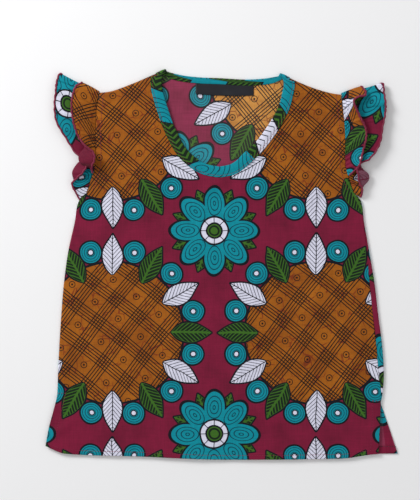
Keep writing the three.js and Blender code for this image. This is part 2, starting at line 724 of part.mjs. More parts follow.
const blouse = new THREE.Group();
blouse.name = "blouse";
for (const { name, solid, finish } of PIECES) {
  const mesh = new THREE.Mesh(solid, finish);
  mesh.name = name;
  blouse.add(mesh);
}

// The origin is under the middle of the whole garment, on the ground.
const box = new THREE.Box3().setFromObject(blouse, true);
const middle = box.getCenter(new THREE.Vector3());
blouse.position.set(-middle.x, -middle.y, -box.min.z);

export default blouse;
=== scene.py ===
"""A child's printed cotton blouse with a bound V neck and two-tier flutter sleeves, laid flat.

Plan tables are in millimetres: x runs to the right as seen from above and y from the hem to the
neck. A level of 0 is the back sheet, which lies on the ground, and 1 is the front sheet. Meshes are
in metres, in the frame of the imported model.
"""

from __future__ import annotations

import logging
import math
from dataclasses import dataclass, field
from enum import Enum
from typing import Callable, Sequence

import bpy
import numpy as np
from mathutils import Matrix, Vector, noise

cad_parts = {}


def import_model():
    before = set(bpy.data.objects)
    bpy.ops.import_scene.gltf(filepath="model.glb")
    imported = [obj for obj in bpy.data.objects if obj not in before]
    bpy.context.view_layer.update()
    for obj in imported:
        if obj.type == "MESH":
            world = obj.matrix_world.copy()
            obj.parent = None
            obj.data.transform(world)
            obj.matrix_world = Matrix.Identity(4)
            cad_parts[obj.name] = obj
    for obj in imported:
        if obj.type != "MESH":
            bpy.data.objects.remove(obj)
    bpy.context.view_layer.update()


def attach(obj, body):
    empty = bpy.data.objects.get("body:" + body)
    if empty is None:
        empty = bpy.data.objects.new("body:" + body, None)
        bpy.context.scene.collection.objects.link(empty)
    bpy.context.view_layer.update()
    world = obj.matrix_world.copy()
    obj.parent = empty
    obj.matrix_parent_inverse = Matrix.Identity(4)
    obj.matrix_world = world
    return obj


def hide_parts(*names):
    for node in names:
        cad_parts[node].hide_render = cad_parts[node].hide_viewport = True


LOG = logging.getLogger("blouse")
MM = 0.001
PLAN_SHIFT = np.array([0.0, 1.25])  # from the tables' origin to the middle of the garment, mm
BODY = "root"

Array = np.ndarray
Pair = tuple[Array, Array]
Colour = tuple[float, float, float, float]
Material = bpy.types.Material
Node = bpy.types.Node
Outputs = bpy.types.NodeOutputs
Piece = bpy.types.Object
Socket = bpy.types.NodeSocket
Tree = bpy.types.NodeTree
Painter = Callable[[Tree, Socket], Socket]


# ---------------- numbers and curves


def smoothstep(value: Array, low: float, high: float) -> Array:
    """Return 0 below low, 1 above high and a smooth rise between."""
    share = np.clip((np.asarray(value, float) - low) / (high - low), 0.0, 1.0)
    return share * share * (3.0 - 2.0 * share)


def fade(distance: Array, full: float, none: float) -> Array:
    """Return 1 up to the distance full, falling smoothly to 0 at the distance none."""
    return 1.0 - smoothstep(distance, full, none)


def bell(value: Array, middle: float, width: float) -> Array:
    """Return a soft bump of height 1 round middle."""
    return np.exp(-(((np.asarray(value, float) - middle) / width) ** 2))


class Track:
    """A smooth line through the values of a table."""

    def __init__(self, at: Sequence[float], value: Sequence[float], steady: bool = True) -> None:
        """Fit the line.

        Args:
            at: rising places along the line.
            value: the value at each place.
            steady: keep the line from overshooting its values.
        """
        self.at = np.asarray(at, float)
        self.value = np.asarray(value, float)
        run = np.diff(self.at)
        rise = np.diff(self.value) / run
        slope = np.empty_like(self.value)
        slope[0], slope[-1] = rise[0], rise[-1]
        slope[1:-1] = (rise[:-1] * run[1:] + rise[1:] * run[:-1]) / (run[1:] + run[:-1])
        if steady:
            flat = rise[:-1] * rise[1:] <= 0
            limit = 2.5 * np.minimum(np.abs(rise[:-1]), np.abs(rise[1:]))
            slope[1:-1] = np.where(flat, 0.0, np.clip(slope[1:-1], -limit, limit))
        self.slope = slope

    def __call__(self, place: Array) -> Array:
        """Return the line's value at each place, held level past its ends."""
        place = np.clip(np.asarray(place, float), self.at[0], self.at[-1])
        i = np.clip(np.searchsorted(self.at, place) - 1, 0, len(self.at) - 2)
        run = self.at[i + 1] - self.at[i]
        t = (place - self.at[i]) / run
        low, high = self.value[i], self.value[i + 1]
        return (
            (1 + 2 * t) * (1 - t) ** 2 * low
            + t * (1 - t) ** 2 * run * self.slope[i]
            + t * t * (3 - 2 * t) * high
            + t * t * (t - 1) * run * self.slope[i + 1]
        )


class Path2:
    """A smooth curve through points, read by the share of its length."""

    def __init__(self, points: Array) -> None:
        """Fit the curve through an array of points, one a row."""
        points = np.asarray(points, float)
        chord = np.linalg.norm(np.diff(points, axis=0), axis=1) ** 0.5
        at = np.concatenate([[0.0], np.cumsum(chord)])
        fine = np.linspace(0.0, at[-1], 40 * len(points))
        self.points = np.stack([Track(at, column, False)(fine) for column in points.T], axis=1)
        self.reach = lengths(self.points)

    @property
    def length(self) -> float:
        """The curve's length, mm."""
        return float(self.reach[-1])

    def at(self, share: Array) -> Array:
        """Return the points at shares of the length."""
        where = np.asarray(share, float) * self.reach[-1]
        return np.stack([np.interp(where, self.reach, column) for column in self.points.T], axis=-1)

    def spaced(self, count: int) -> Array:
        """Return count + 1 points at equal steps."""
        return self.at(np.linspace(0.0, 1.0, count + 1))


def unit(rows: Array) -> Array:
    """Return vectors, one a row, at length 1."""
    return rows / np.maximum(np.linalg.norm(rows, axis=1, keepdims=True), 1e-12)


def lengths(points: Array) -> Array:
    """Return the length of a line of points up to each of them."""
    return np.concatenate([[0.0], np.cumsum(np.linalg.norm(np.diff(points, axis=0), axis=1))])


def nearest(points: Array, x: Array, y: Array) -> Array:
    """Return the distance in plan from each place to the nearest of some points."""
    least = np.full(np.broadcast(x, y).shape, np.inf)
    for px, py in points[:, :2]:
        least = np.minimum(least, (x - px) ** 2 + (y - py) ** 2)
    return np.sqrt(least)


def grain(x: Array, y: Array, size: float, seed: float) -> Array:
    """Return smooth noise between about -1 and 1 with features of a size in mm."""
    flat = [
        noise.noise(Vector((a / size, b / size, seed))) for a, b in zip(np.ravel(x), np.ravel(y))
    ]
    return np.reshape(flat, np.shape(x))


# ---------------- the garment's cut

# rows: y, left outline, right side seam, right outline
SECTIONS = np.array([
    (-206.0, -190.4, 169.1, 190.3), (-180.0, -186.5, 170.6, 181.8), (-160.0, -182.0, 171.4, 175.1),
    (-150.0, -179.6, 171.7, 172.1), (-141.0, -177.6, 172.3, 173.3), (-120.0, -176.8, 169.8, 175.0),
    (-90.0, -175.4, 167.0, 173.4), (-55.0, -173.2, 163.2, 168.9), (-20.0, -170.3, 159.8, 164.8),
    (15.0, -165.4, 156.8, 158.9), (45.0, -158.7, 153.3, 153.6), (69.0, -153.7, 149.8, 149.8),
    (76.0, -146.4, 143.2, 143.2), (89.0, -141.9, 138.3, 138.3), (103.0, -137.1, 134.1, 134.1),
])

HEM_LEVEL = -206.0
HEM_RISE_TOP = -150.0
HEM = np.array([
    (-190.4, -196.6), (-169.3, -204.8), (-88.9, -207.9), (5.0, -211.4), (127.7, -210.2),
    (169.1, -205.2), (190.3, -204.9),
])

VENT_TOP = {"left": -141.5, "right": -150.0}
UNDERARM = 69.0
JUNCTION = 103.0

ARMHOLES = {
    "left": np.array([
        (-146.4, 76.0), (-141.9, 89.0), (-137.1, 103.0), (-135.9, 118.0), (-136.4, 136.0),
        (-135.9, 153.4), (-134.8, 168.5), (-132.6, 184.7),
    ]),
    "right": np.array([
        (143.2, 76.0), (138.3, 89.0), (134.1, 103.0), (133.1, 116.0), (133.4, 132.2),
        (132.3, 152.3), (131.2, 165.2), (129.3, 182.7),
    ]),
}
ARMHOLE_FOOT = 2
INWARD = {"left": 1.0, "right": -1.0}  # the way along x from a side to the middle

SHOULDERS = {
    "left": np.array([
        (-132.6, 184.7), (-119.7, 186.4), (-97.0, 194.4), (-80.8, 201.2), (-70.0, 205.8),
        (-60.0, 209.8),
    ]),
    "right": np.array([
        (129.3, 182.7), (119.0, 184.2), (102.0, 188.9), (84.5, 195.6), (73.5, 200.5), (62.5, 205.4),
    ]),
}

V_FOOT = np.array([-2.4, 105.3])
NECK_FRONT = {
    "left": np.array([
        (-17.0, 108.3), (-30.5, 116.8), (-40.0, 127.0), (-47.2, 140.5), (-53.0, 153.0),
        (-57.0, 165.0), (-60.6, 176.0), (-64.0, 189.0), (-64.8, 198.0), (-63.0, 204.6),
    ]),
    "right": np.array([
        (10.0, 108.2), (20.0, 115.4), (37.0, 132.3), (46.3, 144.5), (55.0, 158.0), (62.0, 172.5),
        (65.4, 186.0), (66.8, 194.0), (65.3, 200.2),
    ]),
}
NECK_BACK = np.array([
    (60.8, 203.0), (57.0, 202.2), (50.0, 201.0), (43.4, 200.2), (25.0, 199.4), (0.0, 200.8),
    (-23.0, 201.7), (-40.0, 203.5), (-50.0, 205.5), (-56.0, 207.1), (-59.3, 207.9),
])
LAP_X = 24.5

PANEL_WALL = 0.5
SIDE_FOLD = 1.25  # radius of the fold at a side
SHOULDER_FOLD = 1.7
SEAM = 0.12  # gap between the two cloths at a seam
VENT_UNDERLAP = 1.5  # how far the back draws in at the left vent
NECK_INSET = 3.0  # from the band's fold to the panels' raw edge
FLAP_HEM_START = 164.0

MIRROR = np.array([-1.0, 1.0])  # turns a plan of the back to its cut, seen on the right side

# widths of the turned edges, and how far in the stitches run
HEM_TURN = 5.5
HEM_SEAM = 4.6
VENT_TURN = 9.5
VENT_SEAM = 8.6
ARMHOLE_SEAM = 5.6


def outward(side: str) -> Array:
    """Return the plan direction out of the cloth, across a shoulder at the neck."""
    near, corner = SHOULDERS[side][-2:]
    along = (corner - near) / np.linalg.norm(corner - near)
    return np.array([-along[1], along[0]]) * INWARD[side]


def along_shoulder(side: str) -> Array:
    """Return the plan direction from the neck to the shoulder tip."""
    near, corner = SHOULDERS[side][-2:]
    return (near - corner) / np.linalg.norm(corner - near)


# ---------------- how the cloth lies


@dataclass(frozen=True)
class Crease:
    """A soft ridge (or a trough, where height is below 0) along a line in plan, mm."""

    x1: float
    y1: float
    x2: float
    y2: float
    half_width: float
    height: float
    bow: float = 0.0

    def relief(self, x: Array, y: Array) -> Array:
        """Return the crease's height at each place, tapering to its ends."""
        dx, dy = self.x2 - self.x1, self.y2 - self.y1
        length = math.hypot(dx, dy)
        along = ((x - self.x1) * dx + (y - self.y1) * dy) / length
        share = np.clip(along / length, 0.0, 1.0)
        across = ((x - self.x1) * dy - (y - self.y1) * dx) / length
        across = across - self.bow * np.sin(math.pi * share)
        beyond = np.maximum(0.0, np.maximum(-along, along - length))
        taper = 0.25 + 0.75 * np.sin(math.pi * share)
        return self.height * taper * fade(np.hypot(across, beyond), 0.0, self.half_width)


def creases(*rows: tuple[float, ...]) -> tuple[Crease, ...]:
    """Return the creases of a table."""
    return tuple(Crease(*row) for row in rows)


# rows: both ends, half width, height, bow
FRONT_CREASES = creases(
    (-130, 131, -110, 108, 8, -0.8, 2), (-121, 140, -98, 116, 7, 1, 2),
    (-130, 116, -116, 98, 6, 0.7, -2), (128, 150, 108, 128, 8, 0.5, -2),
    (-131, 183, -112, 160, 7, 1.1, 2), (-126, 170, -92, 122, 13, 0.7, -4),
    (-150, 40, -78, -14, 15, 0.8, 5), (-60, 100, -96, 34, 12, 0.6, -6),
    (-14, 92, -22, 20, 9, 0.5, 3), (14, 90, 30, 8, 11, 0.6, -4), (-2, 90, 2, 46, 6, -0.45, 2),
    (48, 96, 92, 40, 12, 0.6, 5), (126, 120, 96, 70, 10, 0.7, -3), (126, 92, 84, 58, 9, 0.55, 3),
    (-134, 108, -104, 78, 9, 0.9, 3), (10, 96, -34, 58, 8, 0.55, 4), (-20, 64, 30, 34, 10, 0.5, -5),
    (-70, 16, -20, -24, 11, 0.5, 4), (70, 24, 22, -30, 12, 0.5, -5),
    (0, -120, 60, -176, 12, 0.6, 6), (-138, 92, -112, 58, 10, 0.6, -3),
    (140, 30, 96, -60, 15, 0.6, 7), (150, -60, 118, -168, 14, 0.8, -6),
    (120, -40, 62, -160, 16, 0.55, 8), (20, -60, 6, -186, 14, 0.6, -5),
    (-40, -40, -58, -176, 14, 0.6, 6), (-112, -66, -132, -190, 13, 0.7, -5),
    (-164, -60, -170, -176, 9, 0.55, 3), (-90, -130, -20, -150, 12, -0.4, 5),
    (30, -130, 110, -112, 12, -0.4, -4), (-186, -186, -160, -168, 8, 0.7, 2),
    (60, -206, 52, -180, 8, 0.5, 1), (-100, -204, -94, -178, 8, 0.5, -1),
)
BACK_CREASES = creases(
    (-30, 196, -46, 130, 10, 0.5, 3), (40, 194, 30, 128, 9, 0.55, -3),
    (6, 176, 0, 112, 10, 0.35, 2),
)
UNDER_CREASES = creases(
    (-120, 60, -60, -60, 15, 0.5, 6), (100, 40, 60, -90, 15, 0.5, -6),
    (10, 80, -10, -60, 14, 0.45, 5), (-100, -90, -130, -190, 12, 0.5, 4),
    (90, -110, 120, -195, 12, 0.5, -4),
)


# rows: height, size, seed
FRONT_GRAIN = ((0.7, 48.0, 3.1), (0.32, 17.0, 7.7), (0.07, 6.0, 1.4))
BACK_GRAIN = ((0.22, 40.0, 5.3), (0.07, 13.0, 2.9))


@dataclass
class Lay:
    """How high each sheet of the garment lies, mm."""

    ground: float = 0.32
    loft: float = 2.3
    neck_back: float = 1.25
    neck_front: float = 1.75
    armhole_back: float = 0.5
    armhole_front: float = 0.75
    crease_gain: float = 1.5
    armhole_pucker: float = 0.38
    neck_pucker: float = 0.14
    rise: float = 0.22
    corners: Array = field(default_factory=lambda: np.array([SHOULDERS[s][-1] for s in SHOULDERS]))

    def __post_init__(self) -> None:
        """Sample the edges that the heights depend on."""
        self.armholes = np.concatenate([Path2(ARMHOLES[s]).spaced(40) for s in ARMHOLES])
        left, right = self.corners
        self.back_neck = Path2(np.vstack([right, NECK_BACK, left])).spaced(60)
        front = np.vstack([left, NECK_FRONT["left"][::-1], V_FOOT, NECK_FRONT["right"], right])
        self.front_neck = Path2(front).spaced(110)

    def back(self, x: Array, y: Array) -> Array:
        """Return the height of the middle of the back sheet, without its creases."""
        neck = self.neck_back * fade(nearest(self.back_neck, x, y), 15.0, 34.0)
        armhole = self.armhole_back * fade(nearest(self.armholes, x, y), 3.0, 22.0)
        return self.ground + np.maximum(neck, armhole)

    def front(self, x: Array, y: Array) -> Array:
        """Return the height of the middle of the front sheet, without its creases."""
        corner = self.neck_front * fade(nearest(self.corners, x, y), 14.0, 76.0)
        armhole = self.armhole_front * fade(nearest(self.armholes, x, y), 3.0, 24.0)
        return self.ground + self.loft + np.maximum(corner, armhole)

    def raised(self, plan: Array, level: Array) -> Array:
        """Return plan points with their height at a level between the two sheets."""
        x, y = plan[..., 0], plan[..., 1]
        low = self.back(x, y)
        height = low + (self.front(x, y) - low) * level
        return np.concatenate([plan[..., :2], height[..., None]], axis=-1)

    def back_top(self, x: Array, y: Array) -> Array:
        """Return the height of the back sheet's upper face."""
        return self.back(x, y) + self.back_relief(x, y) + PANEL_WALL / 2

    def front_top(self, x: Array, y: Array) -> Array:
        """Return the height of the front sheet's upper face."""
        return self.front(x, y) + self.front_relief(x, y) + PANEL_WALL / 2

    def front_relief(self, x: Array, y: Array) -> Array:
        """Return the front sheet's creases, puckers and slight unevenness."""
        relief = sum(crease.relief(x, y) for crease in FRONT_CREASES) * self.crease_gain
        for height, size, seed in FRONT_GRAIN:
            relief = relief + height * grain(x, y, size, seed)
        armhole = nearest(self.armholes, x, y)
        wander = 2.4 * grain(x, y, 16.0, 9.2)
        gathers = np.sin(y / 1.25 + wander)
        relief = relief + self.armhole_pucker * fade(armhole, 1.0, 16.0) * gathers
        neck = nearest(self.front_neck, x, y)
        pull = np.sin((x * 0.62 + y * 0.31) / 2.1 + wander)
        ring = smoothstep(neck, 9.0, 13.0) * fade(neck, 13.0, 30.0)
        relief = relief + self.neck_pucker * ring * pull
        keep = smoothstep(nearest(self.corners, x, y), 10.0, 34.0)
        return relief * keep * smoothstep(neck, 4.0, 16.0)

    def back_relief(self, x: Array, y: Array) -> Array:
        """Return the back sheet's creases, which only rise from the ground."""
        relief = sum(crease.relief(x, y) for crease in BACK_CREASES + UNDER_CREASES) + self.rise
        for height, size, seed in BACK_GRAIN:
            relief = relief + height * grain(x, y, size, seed)
        keep = smoothstep(nearest(self.back_neck, x, y), 9.0, 22.0)
        return np.maximum(relief, 0.0) * keep * smoothstep(nearest(self.armholes, x, y), 2.0, 18.0)


# ---------------- grids and meshes


@dataclass
class Grid:
    """A patch of cloth: its points in mm and its places on the flat cut, mm."""

    points: Array
    cut: Array

    def quads(self, start: int) -> Array:
        """Return the patch's faces, with its first point numbered start."""
        rows, columns = self.points.shape[:2]
        number = np.arange(rows * columns).reshape(rows, columns) + start
        corners = (number[:-1, :-1], number[:-1, 1:], number[1:, 1:], number[1:, :-1])
        return np.stack([c.ravel() for c in corners], axis=1)

    def flipped(self) -> Grid:
        """Return the patch with its columns in the opposite order."""
        return Grid(self.points[:, ::-1], self.cut[:, ::-1])


class Side(Enum):
    """The two faces of the cloth, by material slot."""

    RIGHT = 0
    WRONG = 1


def vertex_normals(points: Array, quads: Array) -> Array:
    """Return a unit normal for each point of a mesh of quads."""
    a, b, c, d = (points[quads[:, i]] for i in range(4))
    face = np.cross(c - a, d - b)
    normals = np.zeros_like(points)
    for i in range(4):
        np.add.at(normals, quads[:, i], face)
    return unit(normals)


def welded(grids: Sequence[Grid]) -> tuple[Array, Array, Array]:
    """Sew patches together where they meet, and return the points, their cut and the faces."""
    points = np.concatenate([g.points.reshape(-1, 3) for g in grids])
    cut = np.concatenate([g.cut.reshape(-1, 2) for g in grids])
    starts = np.cumsum([0] + [g.points[..., 0].size for g in grids[:-1]])
    quads = np.concatenate([g.quads(int(s)) for g, s in zip(grids, starts)])
    _, first, inverse = np.unique(
        np.round(points, 3), axis=0, return_index=True, return_inverse=True
    )
    quads = inverse.reshape(-1)[quads]
    return points[first], cut[first], quads


def cloth_object(
    name: str, grids: Sequence[Grid], wall: float, up: int, offset: tuple[float, float]
) -> Piece:
    """Make a closed piece of cloth from patches that lie in its middle.

    Args:
        name: the piece's name.
        grids: the patches.
        wall: the cloth's thickness, mm.
        up: 1 where the patches' faces look out of the right side, -1 where they look away.
        offset: where the piece was cut from the printed cloth, mm.

    Returns:
        The object, with a UV map in metres and slots for its right and its wrong side.
    """
    points, cut, quads = welded(grids)
    if up < 0:
        quads = quads[:, ::-1]
    normals = vertex_normals(points, quads)
    half = normals * (wall / 2.0)
    count = len(points)
    both = np.concatenate([points + half, points - half])
    edges = np.stack([quads, np.roll(quads, -1, axis=1)], axis=2).reshape(-1, 2)
    code, back_code = edges @ np.array([count, 1]), edges @ np.array([1, count])
    rim = edges[~np.isin(code, back_code)]
    rim_quads = np.stack([rim[:, 0], rim[:, 0] + count, rim[:, 1] + count, rim[:, 1]], axis=1)
    faces = np.concatenate([quads, quads[:, ::-1] + count, rim_quads])
    slots = np.full(len(faces), Side.RIGHT.value)
    slots[len(quads) : 2 * len(quads)] = Side.WRONG.value
    uv = (np.concatenate([cut, cut]) + np.asarray(offset)) * MM
    return mesh_object(name, both, faces.tolist(), slots, uv)


def placed(name: str, data: bpy.types.ID) -> Piece:
    """Return a new object in the scene."""
    made = bpy.data.objects.new(name, data)
    bpy.context.scene.collection.objects.link(made)
    return made


def mesh_object(name: str, points: Array, faces: list, slots: Array, uv: Array) -> Piece:
    """Make a smooth shaded object from points in mm on the garment's plan.

    Args:
        name: the piece's name.
        points: its points, mm.
        faces: its faces, each a row of point numbers.
        slots: the material slot of each face.
        uv: the place of each point on the flat cloth, m.
    """
    place = points + np.append(PLAN_SHIFT, 0.0)
    mesh = bpy.data.meshes.new(name)
    mesh.from_pydata((place * MM).tolist(), [], faces)
    mesh.polygons.foreach_set("use_smooth", [True] * len(mesh.polygons))
    mesh.polygons.foreach_set("material_index", np.asarray(slots, np.int32))
    layer = mesh.uv_layers.new(name="Cut")
    loops = np.empty(len(mesh.loops), np.int32)
    mesh.loops.foreach_get("vertex_index", loops)
    layer.data.foreach_set("uv", uv[loops].ravel())
    mesh.validate()
    mesh.update()
    return placed(name, mesh)


def shares(x: Array) -> Array:
    """Return how far each value lies on the way from the first to the last."""
    return (x - x[0]) / (x[-1] - x[0])


def coons(bottom: Array, top: Array, left: Array, right: Array) -> Array:
    """Return the plan points of a patch between four edges, row by row.

    Args:
        bottom: the first row.
        top: the last row.
        left: the first point of each row.
        right: the last point of each row.
    """
    v = np.linspace(0.0, 1.0, len(left))[:, None, None]
    u = shares(bottom[:, 0])[None, :, None]
    upright = bottom[None] * (1 - v) + top[None] * v
    level = left[:, None] * (1 - u) + right[:, None] * u
    low = bottom[0] * (1 - u) + bottom[-1] * u
    high = top[0] * (1 - u) + top[-1] * u
    return upright + level - (low * (1 - v) + high * v)


# ---------------- the neck edge


@dataclass
class NeckEdge:
    """The finished neck edge, a loop from the lap right of the V's foot, up and round to it."""

    lay: Lay
    front_steps: int = 120
    back_steps: int = 120
    fold_steps: int = 12

    def __post_init__(self) -> None:
        """Work out the stations: place, facing of the right side and direction into the cloth."""
        right_foot, left_foot = self.foot("right"), self.foot("left")
        up = Path2(np.vstack([V_FOOT, NECK_FRONT["right"], right_foot])).spaced(self.front_steps)
        down = Path2(np.vstack([left_foot, NECK_FRONT["left"][::-1], V_FOOT]))
        down = down.spaced(self.front_steps)[1:]
        back = Path2(np.vstack([right_foot, NECK_BACK, left_foot])).spaced(self.back_steps)[1:-1]
        lap = int(np.argmax(up[:, 0] > LAP_X))
        over = up[1 : lap + 4]
        runs = [
            self.flat(up[lap:-1], 1.0),
            self.fold("right", True),
            self.flat(back, 0.0),
            self.fold("left", False),
            self.flat(np.vstack([down, over]), 1.0),
        ]
        self.at = np.concatenate([run[0] for run in runs])
        self.facing = np.concatenate([run[1] for run in runs])
        into = unit(np.cross(np.gradient(self.at, axis=0), self.facing))
        self.run_starts = np.cumsum([0] + [len(run[0]) for run in runs])
        for start, run in zip(self.run_starts, runs):
            if run[2] is not None:
                into[start : start + len(run[0])] = run[2]
        for side in SHOULDERS:
            gap = np.linalg.norm(self.at[:, :2] - SHOULDERS[side][-1], axis=1)
            share = fade(gap, 2.0, 15.0)[:, None]
            into = into * (1 - share) + np.append(along_shoulder(side), 0.0) * share
        self.into = unit(into)
        self.along = lengths(self.at)

    @staticmethod
    def foot(side: str) -> Array:
        """Return where the fold begins at a neck corner."""
        return SHOULDERS[side][-1] - outward(side) * SHOULDER_FOLD

    def flat(self, plan: Array, level: float) -> tuple[Array, Array, None]:
        """Return the stations of a stretch that lies flat."""
        facing = np.tile([0.0, 0.0, 2.0 * level - 1.0], (len(plan), 1))
        return self.lay.raised(plan, np.full(len(plan), level)), facing, None

    def fold(self, side: str, down: bool) -> tuple[Array, Array, Array]:
        """Return the stations of the fold over a shoulder's neck corner."""
        angle = np.linspace(0.0, math.pi, self.fold_steps + 1)
        if not down:
            angle = angle[::-1]
        plan = self.foot(side) + np.outer(np.sin(angle) * SHOULDER_FOLD, outward(side))
        at = self.lay.raised(plan, (1 + np.cos(angle)) / 2)
        facing = np.column_stack([np.outer(np.sin(angle), outward(side)), np.cos(angle)])
        into = np.tile(np.append(along_shoulder(side), 0.0), (len(angle), 1))
        return at, facing, into

    def raw(self, part: slice) -> Array:
        """Return plan points of the panel's raw edge, under the band, for part of the loop."""
        return self.at[part, :2] + NECK_INSET * unit(self.into[part, :2])


# ---------------- front and back


@dataclass
class Panels:
    """The front and the back."""

    lay: Lay
    neck: NeckEdge
    edge_columns: int = 14
    edge_width: float = 12.0
    middle_columns: int = 92
    tail: int = 6
    wrap: int = 16
    strap_rows: int = 46
    front_offset: tuple[float, float] = (8.0, 4.0)
    back_offset: tuple[float, float] = (-46.0, -55.0)

    def __post_init__(self) -> None:
        """Fit smooth lines to the cut."""
        y, *edges = SECTIONS.T
        self.left, self.seam, self.right = (Track(y, edge) for edge in edges)
        self.hem = Track(HEM[:, 0], HEM[:, 1])
        hem_rows = np.linspace(HEM_LEVEL, HEM_LEVEL + 10.0, 16)
        rows = np.linspace(HEM_LEVEL + 10.0, JUNCTION, 116)[1:]
        self.rows = np.concatenate([hem_rows, rows])

    def shut(self, side: str) -> Array:
        """Return how far each row is shut at a side, between the vent and the underarm."""
        top = VENT_TOP[side]
        closed = smoothstep(self.rows, top - 2.0, top + 3.0)
        return closed * fade(self.rows, UNDERARM, UNDERARM + 6.0)

    def drop(self, x: Array) -> Array:
        """Return each point's y, with the hem's curve fading out upwards."""
        rows = self.rows[:, None]
        share = np.clip((HEM_RISE_TOP - rows) / (HEM_RISE_TOP - HEM_LEVEL), 0.0, 1.0)
        return rows + share * (self.hem(x) - HEM_LEVEL)

    def flat_columns(self, start: Array, stop: Array) -> Array:
        """Return x for the flat columns, closer together near both sides."""
        near = np.linspace(0.0, 1.0, self.edge_columns + 1)[1:]
        width = np.minimum(self.edge_width, (stop - start) / 3.0)[:, None]
        left = start[:, None] + width * near
        right = stop[:, None] - width * near[::-1]
        right = np.concatenate([right[:, 1:], stop[:, None]], axis=1)
        share = np.linspace(0.0, 1.0, self.middle_columns + 1)[1:]
        a, b = left[:, -1:], (stop[:, None] - width)
        return np.concatenate([left, a + (b - a) * share, right], axis=1)

    @property
    def middle(self) -> int:
        """The column of the foot of the V."""
        return self.tail + self.edge_columns + self.middle_columns // 2

    def round_side(self, edge: Array, turned: Array) -> Pair:
        """Return x and level round the right fold, at distances from the foot of its curve."""
        angle = np.minimum(turned / SIDE_FOLD, math.pi)
        over = np.maximum(0.0, turned - math.pi * SIDE_FOLD)
        x = edge - (SIDE_FOLD - SIDE_FOLD * np.sin(angle) + over)
        return x, (1 - np.cos(angle)) / 2

    def seam_turn(self) -> Array:
        """Return how far round the right fold the seam lies, for each row."""
        strip = np.maximum(self.right(self.rows) - self.seam(self.rows), 0.0)
        inside = np.clip(1 - strip / SIDE_FOLD, -1.0, 1.0)
        bend = SIDE_FOLD * (math.pi / 2 + np.arccos(inside))
        return np.where(strip >= SIDE_FOLD, math.pi * SIDE_FOLD + strip - SIDE_FOLD, bend)

    def left_tail(self, edge: Array) -> tuple[Array, Array, Array]:
        """Return x, turn and cut for the columns round the left fold, outermost first."""
        full = self.shut("left") * (math.pi / 2 - SEAM / 2 / SIDE_FOLD)
        share = 1 - np.linspace(0.0, 1.0, self.tail + 1)
        turn = full[:, None] * share
        flat = (1 - self.shut("left"))[:, None] * SIDE_FOLD * (1 - share)
        x = edge[:, None] + SIDE_FOLD * (np.sin(full)[:, None] - np.sin(turn)) + flat
        cut = x[:, -1:] - SIDE_FOLD * turn - (flat[:, -1:] - flat)
        return x, turn, cut

    def joined(self, left: Pair, right: Pair) -> Pair:
        """Return plan points and cut of whole rows, from x and cut at both sides."""
        middle = self.flat_columns(left[0][:, -1], right[0][:, 0])
        x, cut = (np.concatenate([a, middle, b[:, 1:]], axis=1) for a, b in zip(left, right))
        y = self.drop(x)
        return np.stack([x, y], axis=2), np.stack([cut, y], axis=2)

    def body_front(self) -> tuple[Array, Array, Array]:
        """Return plan points, levels and cut of the front from the hem to the V's foot."""
        rows = self.rows
        x_left, turn, cut_left = self.left_tail(self.left(rows))
        shut = self.shut("right")[:, None]
        back_from = 5.0 * (1 - np.linspace(0.0, 1.0, self.tail + 1))[None]
        turned = self.seam_turn()[:, None] + SEAM / 2 + back_from
        edge = self.right(rows)[:, None]
        x_round, level_round = self.round_side(edge, turned)
        x_flat = self.seam(rows)[:, None] - back_from
        x_right = x_flat + (x_round - x_flat) * shut
        level_right = 1 + (level_round - 1) * shut
        unrolled = edge - SIDE_FOLD - (turned - math.pi * SIDE_FOLD)
        cut_right = x_flat + (unrolled - x_flat) * shut
        plan, cut = self.joined((x_left, cut_left), (x_right, cut_right))
        level = np.ones(plan.shape[:2])
        level[:, : self.tail + 1] = (1 + np.cos(turn)) / 2
        level[:, -self.tail :] = level_right[:, 1:]
        return plan, level, cut

    def body_back(self) -> tuple[Array, Array, Array]:
        """Return plan points, levels and cut of the back from the hem to the V's foot."""
        rows = self.rows
        tuck = VENT_UNDERLAP * fade(rows, VENT_TOP["left"] - 20.0, VENT_TOP["left"])
        x_left, turn, cut_left = self.left_tail(self.left(rows) + tuck)
        shut = self.shut("right")[:, None]
        share = np.linspace(0.0, 1.0, self.wrap + 1)[None]
        turned = (self.seam_turn() - SEAM / 2)[:, None] * share
        edge = self.right(rows)[:, None]
        x_round, level_round = self.round_side(edge, turned)
        x_flat = edge - 6.0 * (1 - share)
        x_right = x_flat + (x_round - x_flat) * shut
        cut_right = x_flat + (edge - SIDE_FOLD + turned - x_flat) * shut
        plan, cut = self.joined((x_left, cut_left), (x_right, cut_right))
        level = np.zeros(plan.shape[:2])
        level[:, : self.tail + 1] = (1 - np.cos(turn)) / 2
        level[:, -self.wrap :] = (level_round * shut)[:, 1:]
        return plan, level, cut

    def hem_relief(self, plan: Array, cut: Array, vents: Pair) -> Array:
        """Return the thickness of the turned hem and vent edges, with a dent at the stitches.

        Args:
            plan: plan points of the body, row by row.
            cut: their places on the cut.
            vents: x of the left and the right vent edge, for each row.
        """
        above = np.broadcast_to((self.rows - HEM_LEVEL)[:, None], plan.shape[:2])
        relief = turned_edge(above, HEM_TURN)
        for edge, side in zip(vents, INWARD):
            inside = INWARD[side] * (cut[..., 0] - edge[:, None])
            below = fade(self.rows, VENT_TOP[side] - 1.0, VENT_TOP[side] + 3.0)[:, None]
            relief = np.maximum(relief, turned_edge(inside, VENT_TURN) * below)
        return relief

    def shoulder_feet(self, side: str, places: Array) -> Array:
        """Return the row where a shoulder's fold begins, from the armhole (0) to the neck (1)."""
        outline = Path2(SHOULDERS[side])
        reach = 1 - NECK_INSET / outline.length
        return outline.at(places * reach) - outward(side) * SHOULDER_FOLD

